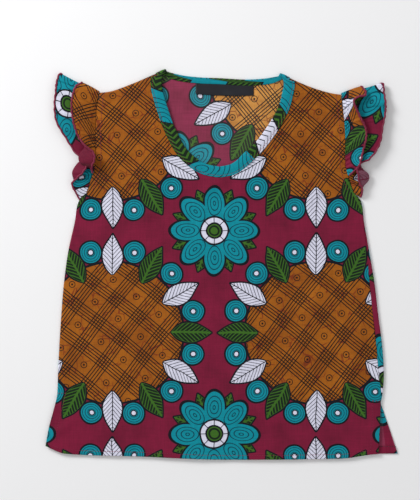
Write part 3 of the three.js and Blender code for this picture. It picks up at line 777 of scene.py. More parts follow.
    def fold_rows(self, side: str, feet: Array, level: float, relief: Array) -> Grid:
        """Return the rows round a shoulder's fold, from its foot to the seam."""
        full = math.pi / 2 - SEAM / 2 / SHOULDER_FOLD
        angle = np.linspace(0.0, full, 7)[:, None]
        out = SHOULDER_FOLD * np.sin(angle)[..., None] * outward(side)
        plan = feet[None] + out
        levels = 0.5 + (level - 0.5) * np.cos(angle) * np.ones(len(feet))
        points = self.lay.raised(plan, levels)
        points[..., 2] += relief[None] * np.cos(angle)
        cut = feet[None] + SHOULDER_FOLD * angle[..., None] * outward(side)
        return Grid(points, cut)

    def armhole(self, side: str, tip: Array) -> Array:
        """Return an armhole's edge from the foot of the V to the shoulder tip."""
        table = ARMHOLES[side][ARMHOLE_FOOT:-1]
        return Path2(np.vstack([table, tip])).spaced(self.strap_rows)

    def strap(self, side: str, junction: Array) -> Pair:
        """Return a front strap's plan points and the feet of its shoulder fold."""
        plan = junction if side == "left" else junction[::-1]
        top = self.shoulder_feet(side, shares(plan[:, 0]))
        starts = self.neck.run_starts  # right front, right fold, back, left fold, left front
        if side == "left":
            raw = self.neck.raw(slice(starts[4] + 2, starts[4] + self.neck.front_steps - 4))[::-1]
        else:
            tail = self.neck.raw(slice(starts[4] + self.neck.front_steps + 3, None))[:-4]
            raw = np.vstack([tail, self.neck.raw(slice(2, starts[1] - 2))])
        edge = Path2(np.vstack([plan[-1], raw[3::4], top[-1]])).spaced(self.strap_rows)
        return coons(plan, top, self.armhole(side, top[0]), edge), top

    def front(self) -> Piece:
        """Make the front."""
        plan, level, cut = self.body_front()
        foot = V_FOOT - np.array([0.0, NECK_INSET])
        pull = bell(plan[..., 0], foot[0], 26.0) * smoothstep(self.rows, 70.0, JUNCTION)[:, None]
        plan[..., 1] += (foot[1] - JUNCTION) * pull
        plan[-1, self.middle] = foot
        cut[..., 1] = np.where(level > 0.99, plan[..., 1], cut[..., 1])
        points = self.lay.raised(plan, level)
        relief = self.lay.front_relief(plan[..., 0], plan[..., 1])
        vents = (self.left(self.rows), self.seam(self.rows))
        relief = relief + self.hem_relief(plan, cut, vents)
        points[..., 2] += relief * level
        grids = [Grid(points, cut)]
        halves = {"left": slice(0, self.middle + 1), "right": slice(self.middle, None)}
        for side, columns in halves.items():
            flat, feet = self.strap(side, plan[-1, columns])
            up = self.lay.raised(flat, np.ones(flat.shape[:2]))
            up[..., 2] += self.lay.front_relief(flat[..., 0], flat[..., 1])
            up[0] = points[-1, columns] if side == "left" else points[-1, columns][::-1]
            fold = self.fold_rows(side, feet, 1.0, up[-1, :, 2] - self.lay.front(*feet.T))
            strap = [Grid(up, flat), fold]
            grids += strap if side == "left" else [grid.flipped() for grid in strap]
        return cloth_object("front", grids, PANEL_WALL, 1, self.front_offset)

    def back(self) -> Piece:
        """Make the back, one patch to the V's foot and one above it up to both shoulders."""
        plan, level, cut = self.body_back()
        points = self.lay.raised(plan, level)
        relief = self.lay.back_relief(plan[..., 0], plan[..., 1])
        vents = (self.left(self.rows) + VENT_UNDERLAP, self.right(self.rows))
        edge = self.hem_relief(plan, cut, vents)
        points[..., 2] += np.maximum(relief + edge, 0.0) * (1 - level)
        junction = plan[-1]
        columns = self.middle_columns // 4
        left_corner = self.tail + self.edge_columns + columns
        right_corner = self.tail + self.edge_columns + 3 * columns
        parts = (junction[: left_corner + 1], junction[right_corner:][::-1])
        sides = zip(INWARD, parts)
        feet = {side: self.shoulder_feet(side, shares(part[:, 0])) for side, part in sides}
        starts = self.neck.run_starts
        raw = self.neck.raw(slice(starts[2] + 6, starts[3] - 6))[::3]
        crossing = right_corner - left_corner
        eased = (1 - np.cos(np.linspace(0.0, math.pi, crossing + 1))) / 2
        eased = 0.5 * eased + 0.5 * np.linspace(0.0, 1.0, crossing + 1)
        neck = Path2(np.vstack([feet["right"][-1], raw, feet["left"][-1]])).at(eased)[::-1]
        top = np.vstack([feet["left"][:-1], neck, feet["right"][::-1][1:]])
        flat = coons(junction, top, self.armhole("left", top[0]), self.armhole("right", top[-1]))
        up = self.lay.raised(flat, np.zeros(flat.shape[:2]))
        up[..., 2] += self.lay.back_relief(flat[..., 0], flat[..., 1])
        up[0] = points[-1]
        grids = [Grid(points, cut), Grid(up, flat)]
        last = up[-1, :, 2] - self.lay.back(*top.T)
        lifts = (last[: left_corner + 1], last[right_corner:][::-1])
        for side, lift in zip(INWARD, lifts):
            fold = self.fold_rows(side, feet[side], 0.0, lift)
            grids.append(fold if side == "left" else fold.flipped())
        for grid in grids:
            grid.cut = grid.cut * MIRROR
        grids += self.turnings()
        return cloth_object("back", grids, PANEL_WALL, -1, self.back_offset)

    def turnings(self) -> list[Grid]:
        """Return the back's turned vent and hem edges that show past the front."""
        top, hem_turn = VENT_TOP["right"] - 4.0, 8.2
        rows = np.linspace(-204.4, top, 44)
        foot_x, lean, foot_y = 176.9, -0.1157, -196.6
        inner = (foot_x + lean * (rows - foot_y))[:, None]
        share = np.linspace(0.0, 1.0, 14)[None]
        vent_x = inner + (self.right(rows)[:, None] - 0.05 - inner) * share
        vent_y = np.broadcast_to(rows[:, None], vent_x.shape)
        corner = self.right(-202.0) + 0.6
        x = np.linspace(FLAP_HEM_START, corner, 40)
        up = np.linspace(0.0, hem_turn, 12)[:, None]
        hem_y = self.hem(x)[None] + 0.15 + up
        edge = self.right(hem_y.ravel()).reshape(hem_y.shape) - 0.1
        hem_x = np.minimum(np.broadcast_to(x, hem_y.shape), edge)
        turned = []
        for x, y, lift in (
            (vent_x, vent_y, 0.5 * (1 - share**8)),
            (hem_x, hem_y, flap_hem_lift(hem_x) * (1 - (1 - up / hem_turn) ** 8)),
        ):
            z = self.lay.back(x, y) + self.lay.back_relief(x, y) + lift
            plan = np.stack([x, y], axis=2)
            points = np.concatenate([plan, z[..., None]], axis=2)
            turned.append(Grid(points, plan * MIRROR).flipped())
        return turned


def flap_hem_lift(x: Array) -> Array:
    """Return how high the flap's turned hem lies, above the turned vent edge where they cross."""
    return 0.5 + 0.42 * smoothstep(x, 174.5, 176.5)


def turned_edge(inside: Array, width: float) -> Array:
    """Return the relief of a turned and stitched edge at distances in from its fold, mm."""
    thick = 0.26 * fade(inside, width - 0.3, width + 0.9)
    return thick - 0.2 * bell(inside, width - 1.0, 0.55)


# ---------------- neck band and label


@dataclass
class NeckBand:
    """The bias strip that binds the neck, folded over the panels' raw edge and stitched down."""

    neck: NeckEdge
    outer: float = 12.0
    inner: float = 6.6
    seam: float = 9.9
    grip: float = 0.29
    wall: float = 0.8
    lap_rise: float = 0.85
    puff: float = 0.16

    def profile(self, swell: float) -> Array:
        """Return the strip's section: x into the cloth and y out of its right side, mm."""
        grip = self.grip + swell
        out = grip + self.wall
        turn = np.linspace(-0.5 * math.pi, -1.5 * math.pi, 11)
        bight = np.column_stack([out + out * np.cos(turn), out * np.sin(turn)])
        bight[:, 0] -= swell
        edge = self.outer
        face = [
            (3.0, 0.1), (5.0, 0.17), (7.0, 0.16), (8.6, 0.08), (9.4, -0.06), (self.seam, -0.2),
            (10.4, -0.06), (11.1, 0.03), (11.7, -0.08), (edge, -0.36),
        ]
        face = [(x, out + rise) for x, rise in face]
        hollow = [(edge, 1.0), (7.0, 1.0), (2.4, 1.0), (1.4, 0.7), (1.1, 0.0), (1.4, -0.7)]
        hollow = [(x, grip * share) for x, share in [*hollow, (2.4, -1.0), (self.inner, -1.0)]]
        under = [(self.inner + 0.1, -out + 0.3), (self.inner - 0.4, -out), (3.6, -out - 0.06)]
        return np.vstack([bight, face, hollow, under])

    def build(self) -> Piece:
        """Make the band."""
        neck = self.neck
        crown = 1 + 0.5 * grain(neck.along, np.zeros_like(neck.along), 9.0, 4.4)
        rings = []
        for i, swell in enumerate(self.swell()):
            section = self.profile(float(swell))
            puff = np.sin(np.pi * np.clip(section[:, 0] / 10.0, 0.0, 1.0)) * self.puff * crown[i]
            depth = section[:, 1] + np.where(section[:, 1] > self.grip + 0.1, puff, 0.0)
            out = np.outer(section[:, 0], neck.into[i]) + np.outer(depth, neck.facing[i])
            rings.append(neck.at[i] + out)
        return self.tube(np.array(rings), neck.along, lengths(self.profile(0.0)))

    def swell(self) -> Array:
        """Return how much higher the band stands at each station, for the lap at its end."""
        along = self.neck.along
        return self.lap_rise * smoothstep(along, along[-1] - 13.0, along[-1] - 6.0)

    def tube(self, rings: Array, along: Array, across: Array) -> Piece:
        """Join rings of points into a closed strip with capped ends."""
        count, sides = rings.shape[:2]
        number = np.arange(count * sides).reshape(count, sides)
        a, b = number[:-1], number[1:]
        faces = np.stack([b, np.roll(b, -1, axis=1), np.roll(a, -1, axis=1), a], axis=2)
        faces = faces.reshape(-1, 4).tolist() + [number[0].tolist(), number[-1][::-1].tolist()]
        uv = np.stack(np.broadcast_arrays(along[:, None], across), axis=2).reshape(-1, 2) * MM
        slots = np.zeros(len(faces))
        return mesh_object("neck_binding", rings.reshape(-1, 3), faces, slots, uv)

    def stitch_line(self) -> Array:
        """Return the line of the topstitching along the band's outer edge."""
        neck = self.neck
        height = self.grip + self.wall - 0.06
        line = neck.at + self.seam * neck.into + height * neck.facing
        return line + self.swell()[:, None] * neck.facing

    def lap_line(self) -> Array:
        """Return the line of stitches that holds the lapped end down."""
        neck = self.neck
        i = len(neck.at) - 3
        share = np.linspace(1.4, 11.0, 12)[:, None]
        height = self.grip + self.wall + self.lap_rise + 0.12
        return neck.at[i] + share * neck.into[i] + height * neck.facing[i]


@dataclass
class NeckLabel:
    """The bare woven label inside the back neck, its upper edge held by the band."""

    lay: Lay
    x: float = 3.2
    y: float = 188.9
    width: float = 62.8
    height: float = 12.0
    wall: float = 0.45

    def face(self, u: Array, v: Array, lift: float) -> Array:
        """Return points of the label, slightly bowed down at its free edge.

        Args:
            u: shares of its width, from -0.5 to 0.5.
            v: shares of its height, from -0.5 at the free edge to 0.5.
            lift: how high it lies over the back, mm.
        """
        x = self.x + u * self.width
        sag = -1.1 * (0.25 - u**2) * 4 * (0.5 - v) + 0.9 * (-u) * (0.5 - v)
        y = self.y + v * self.height + sag - 0.9 * u
        rise = 0.35 * bell(v, -0.5, 0.35) * (1 + np.sin(u * 9.0))
        return np.stack([x, y, self.lay.back_top(x, y) + lift + rise], axis=-1)

    def build(self) -> Piece:
        """Make the label."""
        u, v = np.meshgrid(np.linspace(-0.5, 0.5, 64), np.linspace(-0.5, 0.5, 16))
        points = self.face(u, v, 0.3)
        points[..., 2] += 0.12 * np.sin(u * 21.0 + v * 3.0) - 0.15 * smoothstep(v, 0.3, 0.5)
        return cloth_object("label", [Grid(points, points[..., :2])], self.wall, 1, (0, 0))

    def stitch_lines(self) -> list[Array]:
        """Return the lines of stitches across both ends."""
        v = np.linspace(-0.46, 0.46, 10)
        return [self.face(np.full_like(v, u), v, 0.62) for u in (-0.475, 0.475)]


# ---------------- sleeves

# rows: place along the armhole, then the tier's edge (x, y, z) and what its cloth bends round
TIERS = {
    ("left", "lower"): (
        (0, -175.5, 204.6, 4, -154, 195, 4), (0.08, -178.2, 196, 5.5, -156, 190, 5.5),
        (0.18, -178.8, 186, 7.5, -157, 179, 6), (0.30, -180.3, 170, 6.5, -158, 168, 6.5),
        (0.40, -177.8, 153, 8.5, -157, 155, 6), (0.50, -168.5, 137, 7, -152, 140, 6),
        (0.58, -158, 120.5, 7.5, -149, 126, 4.5), (0.64, -150, 113, 7.5, -157, 114, 3),
        (0.70, -146, 107.5, 7.5, -171, 108, 2.4), (0.77, -149.5, 99, 8.5, -177.5, 100, 2.8),
        (0.84, -157, 92, 7.5, -168, 93, 3.2), (0.90, -161.5, 86, 5, -152, 86, 4),
        (0.95, -158.5, 79, 3.6, -151, 80, 3.8), (1, -153.4, 69.8, 2.8, -149.5, 73, 3),
    ),
    ("left", "upper"): (
        (0, -152.5, 194.7, 5.5, -142, 190, 5.4), (0.06, -157, 191.5, 8, -146, 186, 8),
        (0.15, -160.8, 180, 9.5, -148, 177, 9), (0.28, -161.5, 165, 9, -149, 164, 9.4),
        (0.40, -158.3, 148, 10, -148, 149, 9.4), (0.50, -152.5, 134, 10, -147, 137, 9),
        (0.56, -145.5, 126, 12, -152, 128, 7.6), (0.62, -138.2, 120, 13.5, -170, 117.5, 7.4),
        (0.68, -136.9, 112, 13.5, -168, 106.5, 7.4), (0.73, -140, 104.6, 9.5, -147, 103.6, 6.6),
        (0.78, -139.7, 98.6, 4.9, -139.3, 98.6, 4.5),
    ),
    ("right", "lower"): (
        (0, 174.2, 193.9, 4, 152, 189, 4), (0.08, 175.1, 184.5, 6, 153, 183, 5.4),
        (0.18, 176.5, 172, 7.5, 153, 174, 6), (0.28, 176.3, 163, 6.5, 153, 164, 6),
        (0.38, 173.5, 149, 8, 153, 152, 6), (0.48, 171, 133, 7.5, 152, 138, 6),
        (0.56, 166, 121.5, 8, 150, 126, 5), (0.62, 158, 112.5, 7.5, 148, 117, 4.2),
        (0.67, 150, 109, 7.5, 153, 110, 3.4), (0.73, 145.5, 103, 8.5, 162, 103, 2.6),
        (0.80, 147, 96, 9, 174, 97.5, 2.6), (0.86, 148, 88.5, 8.5, 172.5, 91, 2.8),
        (0.91, 151, 82.5, 6.5, 157, 84.5, 3.2), (0.96, 151.5, 78, 4.5, 148, 79, 3.6),
        (1, 150, 72.4, 2.8, 147, 74, 3),
    ),
    ("right", "upper"): (
        (0, 151.8, 190.3, 5.5, 141, 187, 5.4), (0.04, 154.6, 186, 8, 142, 184, 7.6),
        (0.08, 154, 181.6, 10.5, 143, 181, 8.6), (0.12, 147, 179.8, 13, 142, 178, 9),
        (0.17, 141.8, 176, 14, 141, 173, 9), (0.24, 143.7, 168.5, 13, 139.5, 167, 9),
        (0.32, 148.5, 158.5, 12, 140.5, 158, 9), (0.42, 154.5, 146.5, 10.5, 143, 147, 9),
        (0.52, 155.2, 136, 11, 144, 137, 8.8), (0.62, 152, 122, 10, 142.5, 123, 8),
        (0.70, 149.3, 111, 10.5, 142, 112, 7.6), (0.745, 147.2, 105, 9.5, 141.4, 104.6, 7.2),
        (0.78, 142, 99.6, 7, 139.4, 99.8, 6), (0.81, 137.6, 96, 4.9, 137.2, 96, 4.5),
    ),
}


class TierKind(Enum):
    """The two tiers of a flutter sleeve."""

    UPPER = "upper"
    LOWER = "lower"


@dataclass
class Tier:
    """One gathered tier of one sleeve, folded over the shoulder tip."""

    lay: Lay
    side: str
    kind: TierKind
    cut_offset: tuple[float, float]
    wall: float = 0.45
    off_panel: float = 0.42
    seam: float = 0.25
    pleat: float = 4.1
    columns: int = 26
    front_rows: int = 200
    fold_rows: int = 14
    back_rows: int = 90
    back_reach: float = 0.93
    clearance: float = 0.06
    edge_lift: float = 1.12
    waver: float = 0.3

    def __post_init__(self) -> None:
        """Fit smooth lines to the tier's table."""
        table = np.array(TIERS[self.side, self.kind.value])
        self.lines = [Track(table[:, 0], column, False) for column in table.T[1:]]
        self.armhole = Path2(ARMHOLES[self.side][::-1])
        self.upper = self.kind is TierKind.UPPER
        self.last = float(table[-1, 0])
        self.share = np.linspace(0.0, 1.0, self.columns + 1)
        under = (0.5, 0.5, 0.7, 1.25) if self.upper else (1.7, 2.9, 2.2, 1.3)
        foot = self.lay.ground + self.lay.armhole_back
        foot += -self.off_panel if self.upper else self.off_panel
        self.under = Track((0.0, 0.3, 0.6, 0.8, 1.0), (foot, *under))
        self.points, self.cut = self.surface()

    def foot(self, at: float, bulge: Array, front: bool) -> Array:
        """Return where the tier leaves the armhole seam."""
        plan = self.armhole.at(at)
        away = (bulge[:2] - plan) / np.linalg.norm(bulge[:2] - plan)
        foot = self.lay.raised((plan + away * self.seam)[None], np.array([float(front)]))[0]
        foot[2] += self.off_panel if self.upper == front else -self.off_panel
        return foot

    def row(self, at: float, front: bool) -> Array:
        """Return a row of points from the seam to the edge.

        Args:
            at: the place along the armhole, from the shoulder tip (0) to the underarm (1).
            front: whether the row lies on the front half or the back half.
        """
        values = [float(line(at)) for line in self.lines]
        edge, bulge = np.array(values[:3]), np.array(values[3:])
        foot = self.foot(at, bulge, front)
        t = self.share[:, None]
        points = (1 - t) ** 2 * foot + 2 * t * (1 - t) * bulge + t * t * edge
        if front:
            points[:, 2] += self.ripple(at, self.share, 1.0)
            return points
        reach = np.linalg.norm(points[:, :2] - foot[:2], axis=1)
        end = foot[:2] + (points[int(np.argmax(reach)), :2] - foot[:2]) * self.back_reach
        points[:, :2] = foot[:2] * (1 - t) + end * t
        height = self.under(self.share) + self.ripple(at, self.share, 0.45)
        floor = self.wall / 2 + self.clearance
        floor = floor + self.edge_lift * smoothstep(self.share, 0.86, 1.0)
        points[:, 2] = np.maximum(height, floor)
        return points

    def ripple(self, at: float, share: Array, amount: float) -> Array:
        """Return the gathers, which are small at the seam and open into slow flutes, mm."""
        place = at * self.armhole.length
        seed = 5.0 if self.upper else 8.0
        wander = noise.noise(Vector((place / 9.0, 2.0, seed)))
        fine = math.sin(2 * math.pi * place / self.pleat + 3.0 * wander)
        second = math.sin(2 * math.pi * place / (2.3 * self.pleat) + 5.0 * wander)
        flute = math.sin(2 * math.pi * place / 17.0 + 2.0 * wander + seed)
        start = smoothstep(share, 0.0, 0.08) * fade(at, self.last - 0.12, self.last)
        gathers = 0.62 * fine * np.exp(-share / 0.4) + 0.55 * second * np.exp(-share / 0.8)
        return amount * (start * gathers + 0.7 * flute * share**1.4)

    def surface(self) -> Pair:
        """Return the tier's points and cut: front half, fold and back half."""
        front = [self.row(at, True) for at in np.linspace(self.last, 0.0, self.front_rows + 1)]
        back = [self.row(at, False) for at in np.linspace(0.0, self.last, self.back_rows + 1)]
        top, bottom = front[-1], back[0]
        heading = top[-1, :2] - top[0, :2]
        heading /= np.linalg.norm(heading)
        sideways = np.array([-heading[1], heading[0], 0.0]) * -INWARD[self.side]
        fold = []
        for angle in np.linspace(0.0, math.pi, self.fold_rows + 1)[1:-1]:
            radius = np.abs(top[:, 2] - bottom[:, 2]) / 2
            point = bottom + (top - bottom) * (1 + math.cos(angle)) / 2
            fold.append(point + np.outer(radius * math.sin(angle), sideways))
        rows = np.array(front + fold + back)
        step = np.linalg.norm(np.diff(rows, axis=1), axis=2)
        across = np.concatenate([np.zeros((len(rows), 1)), np.cumsum(step, axis=1)], axis=1)
        along = lengths(rows[:, int(0.7 * self.columns)])
        return rows, np.stack(np.broadcast_arrays(along[:, None], -across), axis=2)

    @property
    def name(self) -> str:
        """The piece's name."""
        return f"flutter_{self.side}_{self.kind.value}"

    def build(self) -> Piece:
        """Make the tier."""
        up = -1 if self.side == "left" else 1
        grid = Grid(self.points, self.cut)
        return cloth_object(self.name, [grid], self.wall, up, self.cut_offset)

    def edge(self) -> Array:
        """Return the line of the tier's outer edge, with the slight waver of its rolled hem."""
        line = self.points[:, -1].copy()
        away = unit(line - self.points[:, -3])
        reach = np.arange(len(line)) * self.armhole.length / self.front_rows
        waver = np.sin(reach / 0.9) + grain(reach, np.zeros_like(reach), 2.6, 4.2)
        line[:, :2] += (self.waver * waver[:, None] * away)[:, :2]
        return line

    def flat_cut(self) -> tuple[tuple[float, float], float]:
        """Return the flat strip's width and length in metres, and its area in square metres."""
        reach, along = -self.cut[:, -1, 1], self.cut[:, -1, 0]
        area = float(np.sum((reach[1:] + reach[:-1]) / 2 * np.diff(along)))
        width, length = float(reach.max()), float(along[-1])
        return (width * MM, length * MM), area * MM * MM


# ---------------- node trees


def new_tree(name: str, kind: str, inputs: dict[str, str], outputs: dict[str, str]) -> Tree:
    """Make a node group with named sockets.

    Args:
        name: the group's name.
        kind: Geometry or Shader.
        inputs: the type of each input, by its name.
        outputs: the type of each output, by its name.
    """
    tree = bpy.data.node_groups.new(name, f"{kind}NodeTree")
    for way, sockets in (("INPUT", inputs), ("OUTPUT", outputs)):
        for label, held in sockets.items():
            tree.interface.new_socket(label, in_out=way, socket_type=f"NodeSocket{held}")
    return tree


def fill(node: Node, inputs: dict) -> Node:
    """Set a node's inputs, by name or number, to values or join them to sockets."""
    for name, value in inputs.items():
        if isinstance(value, Term):
            value = value.socket
        if isinstance(value, Socket):
            node.id_data.links.new(value, node.inputs[name])
        else:
            node.inputs[name].default_value = value
    return node


def add(tree: Tree, kind: str, inputs: dict | None = None, **settings: object) -> Node:
    """Add a node to a tree.

    Args:
        tree: the tree.
        kind: the node's type.
        inputs: values or sockets for its inputs, by name or number.
        settings: the node's own settings.
    """
    node = tree.nodes.new(kind)
    for name, value in settings.items():
        setattr(node, name, value)
    return fill(node, inputs or {})


# ---------------- threads


STITCH_SIZES = ("Pitch", "Stitch Length", "Thread Radius", "Ring Radius")
CORE_SHARE = 0.93  # radius of the cloth roll inside a rolled edge's loops, in loop radii


class Thread(Enum):
    """How a thread shows along its line."""

    RUNNING = "running"
    ROLLED = "rolled"


@dataclass(frozen=True)
class Stitch:
    """The sizes of one kind of stitching, mm."""

    kind: Thread
    pitch: float
    length: float
    radius: float
    ring: float = 0.0

    def tree(self) -> Tree:
        """Build the Geometry Nodes tree that lays this stitch along a line of edges."""
        sizes = dict.fromkeys(STITCH_SIZES, "Float")
        inputs = {"Geometry": "Geometry", **sizes, "Thread": "Material"}
        name = f"lay_{self.kind.value}_stitches"
        tree = new_tree(name, "Geometry", inputs, {"Geometry": "Geometry"})
        given = add(tree, "NodeGroupInput").outputs
        curve = add(tree, "GeometryNodeMeshToCurve", {"Mesh": given["Geometry"]}).outputs["Curve"]
        reach = {"Curve": curve, "Length": given["Pitch"]}
        spots = add(tree, "GeometryNodeCurveToPoints", reach, mode="LENGTH").outputs
        turn = add(tree, "FunctionNodeAlignRotationToVector", {"Vector": spots["Tangent"]})
        place = add(tree, "GeometryNodeInstanceOnPoints", {"Points": spots["Points"]})
        join = add(tree, "GeometryNodeJoinGeometry")
        if self.kind is Thread.RUNNING:
            turn.axis = "X"
            fill(place, self.bead(tree, given))
            fill(place, {"Rotation": turn.outputs["Rotation"]})
        else:
            turn.axis = "Z"
            fill(place, self.loop(tree, given, turn))
            thin = {0: given["Ring Radius"], 1: CORE_SHARE}
            thin = add(tree, "ShaderNodeMath", thin, operation="MULTIPLY").outputs[0]
            bar = {"Curve": curve, "Profile Curve": self.circle(tree, 7, thin), "Fill Caps": True}
            fill(join, {"Geometry": add(tree, "GeometryNodeCurveToMesh", bar).outputs["Mesh"]})
        made = fill(join, {"Geometry": place.outputs["Instances"]})
        for kind in ("GeometryNodeRealizeInstances", "GeometryNodeSetShadeSmooth"):
            made = add(tree, kind, {"Geometry": made.outputs["Geometry"]})
        dress = {"Geometry": made.outputs["Geometry"], "Material": given["Thread"]}
        made = add(tree, "GeometryNodeSetMaterial", dress)
        add(tree, "NodeGroupOutput", {"Geometry": made.outputs["Geometry"]})
        return tree

    def bead(self, tree: Tree, given: Outputs) -> dict:
        """Return the shape and scale of one stitch that shows as a short length of thread."""
        bead = add(tree, "GeometryNodeMeshUVSphere", {"Segments": 6, "Rings": 4, "Radius": 1.0})
        half = {0: given["Stitch Length"], 1: 0.5}
        half = add(tree, "ShaderNodeMath", half, operation="MULTIPLY").outputs[0]
        size = {"X": half, "Y": given["Thread Radius"], "Z": given["Thread Radius"]}
        size = add(tree, "ShaderNodeCombineXYZ", size).outputs["Vector"]
        return {"Instance": bead.outputs["Mesh"], "Scale": size}

    def loop(self, tree: Tree, given: Outputs, turn: Node) -> dict:
        """Return the shape and turn of one loop of thread round a rolled edge."""
        loop = {
            "Curve": self.circle(tree, 8, given["Ring Radius"]),
            "Profile Curve": self.circle(tree, 4, given["Thread Radius"]),
        }
        loop = add(tree, "GeometryNodeCurveToMesh", loop).outputs["Mesh"]
        lean = {"Min": (0.12, 0.22, 0.0), "Max": (0.3, 0.42, 0.7), "Seed": 11}
        lean = add(tree, "FunctionNodeRandomValue", lean, data_type="FLOAT_VECTOR")
        tip = {"Rotation": turn.outputs["Rotation"], "Rotate By": lean.outputs["Value"]}
        tip = add(tree, "FunctionNodeRotateRotation", tip, rotation_space="LOCAL")
        return {"Instance": loop, "Rotation": tip.outputs["Rotation"]}

    @staticmethod
    def circle(tree: Tree, sides: int, radius: Socket) -> Socket:
        """Return a ring of a few sides."""
        ring = {"Resolution": sides, "Radius": radius}
        return add(tree, "GeometryNodeCurvePrimitiveCircle", ring).outputs["Curve"]

    def sew(self, name: str, lines: Sequence[Array], thread: Material) -> Piece:
        """Lay the stitch along lines of points in mm, as a plain mesh of the thread.

        Args:
            name: the piece's name.
            lines: the lines, each a row of points.
            thread: the thread's material.
        """
        points, edges = [], []
        for line in lines:
            edges += [(len(points) + i, len(points) + i + 1) for i in range(len(line) - 1)]
            points += ((line + np.append(PLAN_SHIFT, 0.0)) * MM).tolist()
        mesh = bpy.data.meshes.new(f"{name}_line")
        mesh.from_pydata(points, edges, [])
        guide = placed(f"{name}_line", mesh)
        modifier = guide.modifiers.new("stitches", "NODES")
        modifier.node_group = self.tree()
        sizes = zip(STITCH_SIZES, (self.pitch, self.length, self.radius, self.ring))
        values = {"Thread": thread} | {label: size * MM for label, size in sizes}
        for item in modifier.node_group.interface.items_tree:
            if item.in_out == "INPUT" and item.name in values:
                modifier[item.identifier] = values[item.name]
        graph = bpy.context.evaluated_depsgraph_get()
        mesh = bpy.data.meshes.new_from_object(guide.evaluated_get(graph))
        mesh.name = name
        guide.modifiers.remove(modifier)
        bpy.data.objects.remove(guide)
        return placed(name, mesh)


RUNNING_STITCH = Stitch(Thread.RUNNING, pitch=2.7, length=2.2, radius=0.28)
FINE_STITCH = Stitch(Thread.RUNNING, pitch=2.1, length=1.7, radius=0.16)
BAND_STITCH = Stitch(Thread.RUNNING, pitch=2.4, length=1.9, radius=0.24)
ROLLED_EDGE = Stitch(Thread.ROLLED, pitch=0.95, length=0.0, radius=0.22, ring=1.05)


# ---------------- shader arithmetic


def shade(red: int, green: int, blue: int) -> Colour:
    """Return an sRGB colour as linear values."""
    def linear(level: int) -> float:
        share = level / 255.0
        return share / 12.92 if share <= 0.04045 else ((share + 0.055) / 1.055) ** 2.4

    return (linear(red), linear(green), linear(blue), 1.0)


class Term:
    """A number in a node tree, which ordinary arithmetic turns into Math nodes."""

    def __init__(self, tree: Tree, socket: Socket) -> None:
        """Hold an output socket of a tree."""
        self.tree = tree
        self.socket = socket

    def make(self, operation: str, *others: Term | float) -> Term:
        """Return the result of a Math node on this number and others."""
        values = dict(enumerate((self, *others)))
        node = add(self.tree, "ShaderNodeMath", values, operation=operation)
        return Term(self.tree, node.outputs[0])

    def __add__(self, other: Term | float) -> Term:
        """Add."""
        return self.make("ADD", other)

    def __sub__(self, other: Term | float) -> Term:
        """Subtract."""
        return self.make("SUBTRACT", other)

    def __mul__(self, other: Term | float) -> Term:
        """Multiply."""
        return self.make("MULTIPLY", other)

    def __truediv__(self, other: Term | float) -> Term:
        """Divide."""
        return self.make("DIVIDE", other)

    def __lt__(self, other: Term | float) -> Term:
        """Return 1 where this number is the smaller one."""
        return self.make("LESS_THAN", other)

    def __gt__(self, other: Term | float) -> Term:
        """Return 1 where this number is the larger one."""
        return self.make("GREATER_THAN", other)

    def __abs__(self) -> Term:
        """Return the size of the number."""
        return self.make("ABSOLUTE")

    def either(self, other: Term | float) -> Term:
        """Return the larger of two numbers."""
        return self.make("MAXIMUM", other)

    def least(self, other: Term | float) -> Term:
        """Return the smaller of two numbers."""
        return self.make("MINIMUM", other)

    def sine(self) -> Term:
        """Return the sine."""
        return self.make("SINE")

    def cosine(self) -> Term:
        """Return the cosine."""
        return self.make("COSINE")

    def around(self, pitch: float) -> Term:
        """Return the distance, with its sign, to the nearest multiple of a pitch."""
        return self.make("WRAP", pitch / 2, -pitch / 2)

    def opposite(self) -> Term:
        """Return 1 minus the number."""
        node = add(self.tree, "ShaderNodeMath", {0: 1.0, 1: self}, operation="SUBTRACT")
        return Term(self.tree, node.outputs[0])


def hypot(a: Term, b: Term) -> Term:
    """Return the length of two numbers at right angles."""
    return (a * a + b * b).make("SQRT")


class Paint:
    """A colour in a node tree that masks paint over, layer by layer."""

    def __init__(self, tree: Tree, ground: Colour | Socket) -> None:
        """Start from an even ground, or from a socket's colour."""
        self.tree = tree
        self.colour = ground

    def over(self, mask: Term | float, colour: Colour | Socket) -> None:
        """Paint a colour where a mask is 1."""
        layers = {"Factor": mask, 6: self.colour, 7: colour}
        self.colour = add(self.tree, "ShaderNodeMix", layers, data_type="RGBA").outputs[2]


@dataclass(frozen=True)
class Dyes:
    """The print's colours."""

    maroon: Colour = shade(124, 20, 54)
    # darker maroon blotches: partly the print's mottle, partly painted soft shade of the cloth's
    # waves
    maroon_mottle_and_shade: Colour = shade(98, 14, 42)
    ochre: Colour = shade(163, 93, 18)
    ochre_dark: Colour = shade(134, 69, 11)
    brown: Colour = shade(26, 18, 15)
    rust: Colour = shade(118, 44, 18)
    teal: Colour = shade(0, 136, 152)
    teal_dark: Colour = shade(0, 62, 78)
    green: Colour = shade(58, 102, 30)
    green_dark: Colour = shade(14, 32, 18)
    white: Colour = shade(216, 216, 234)
    black: Colour = shade(14, 14, 24)


DYES = Dyes()


@dataclass(frozen=True)
class PrintLayout:
    """The sizes of the print: wreathed rounds in rows, rosettes and sprigs between them, mm."""

    pitch: float = 220.0
    round_radius: float = 77.0
    wreath_leaves: int = 12
    leaf_start: float = 62.0
    leaf_length: float = 46.0
    leaf_half_width: float = 11.5
    bud_ring: float = 90.0
    bud_radius: float = 12.0
    rosette_petals: int = 8
    row_shift: float = 70.0
    hub: float = 15.0
    eye: float = 8.4
    vein_pitch: float = 4.6
    outline: float = 0.95
    check_pitch: float = 31.0
    check_line: float = 0.54


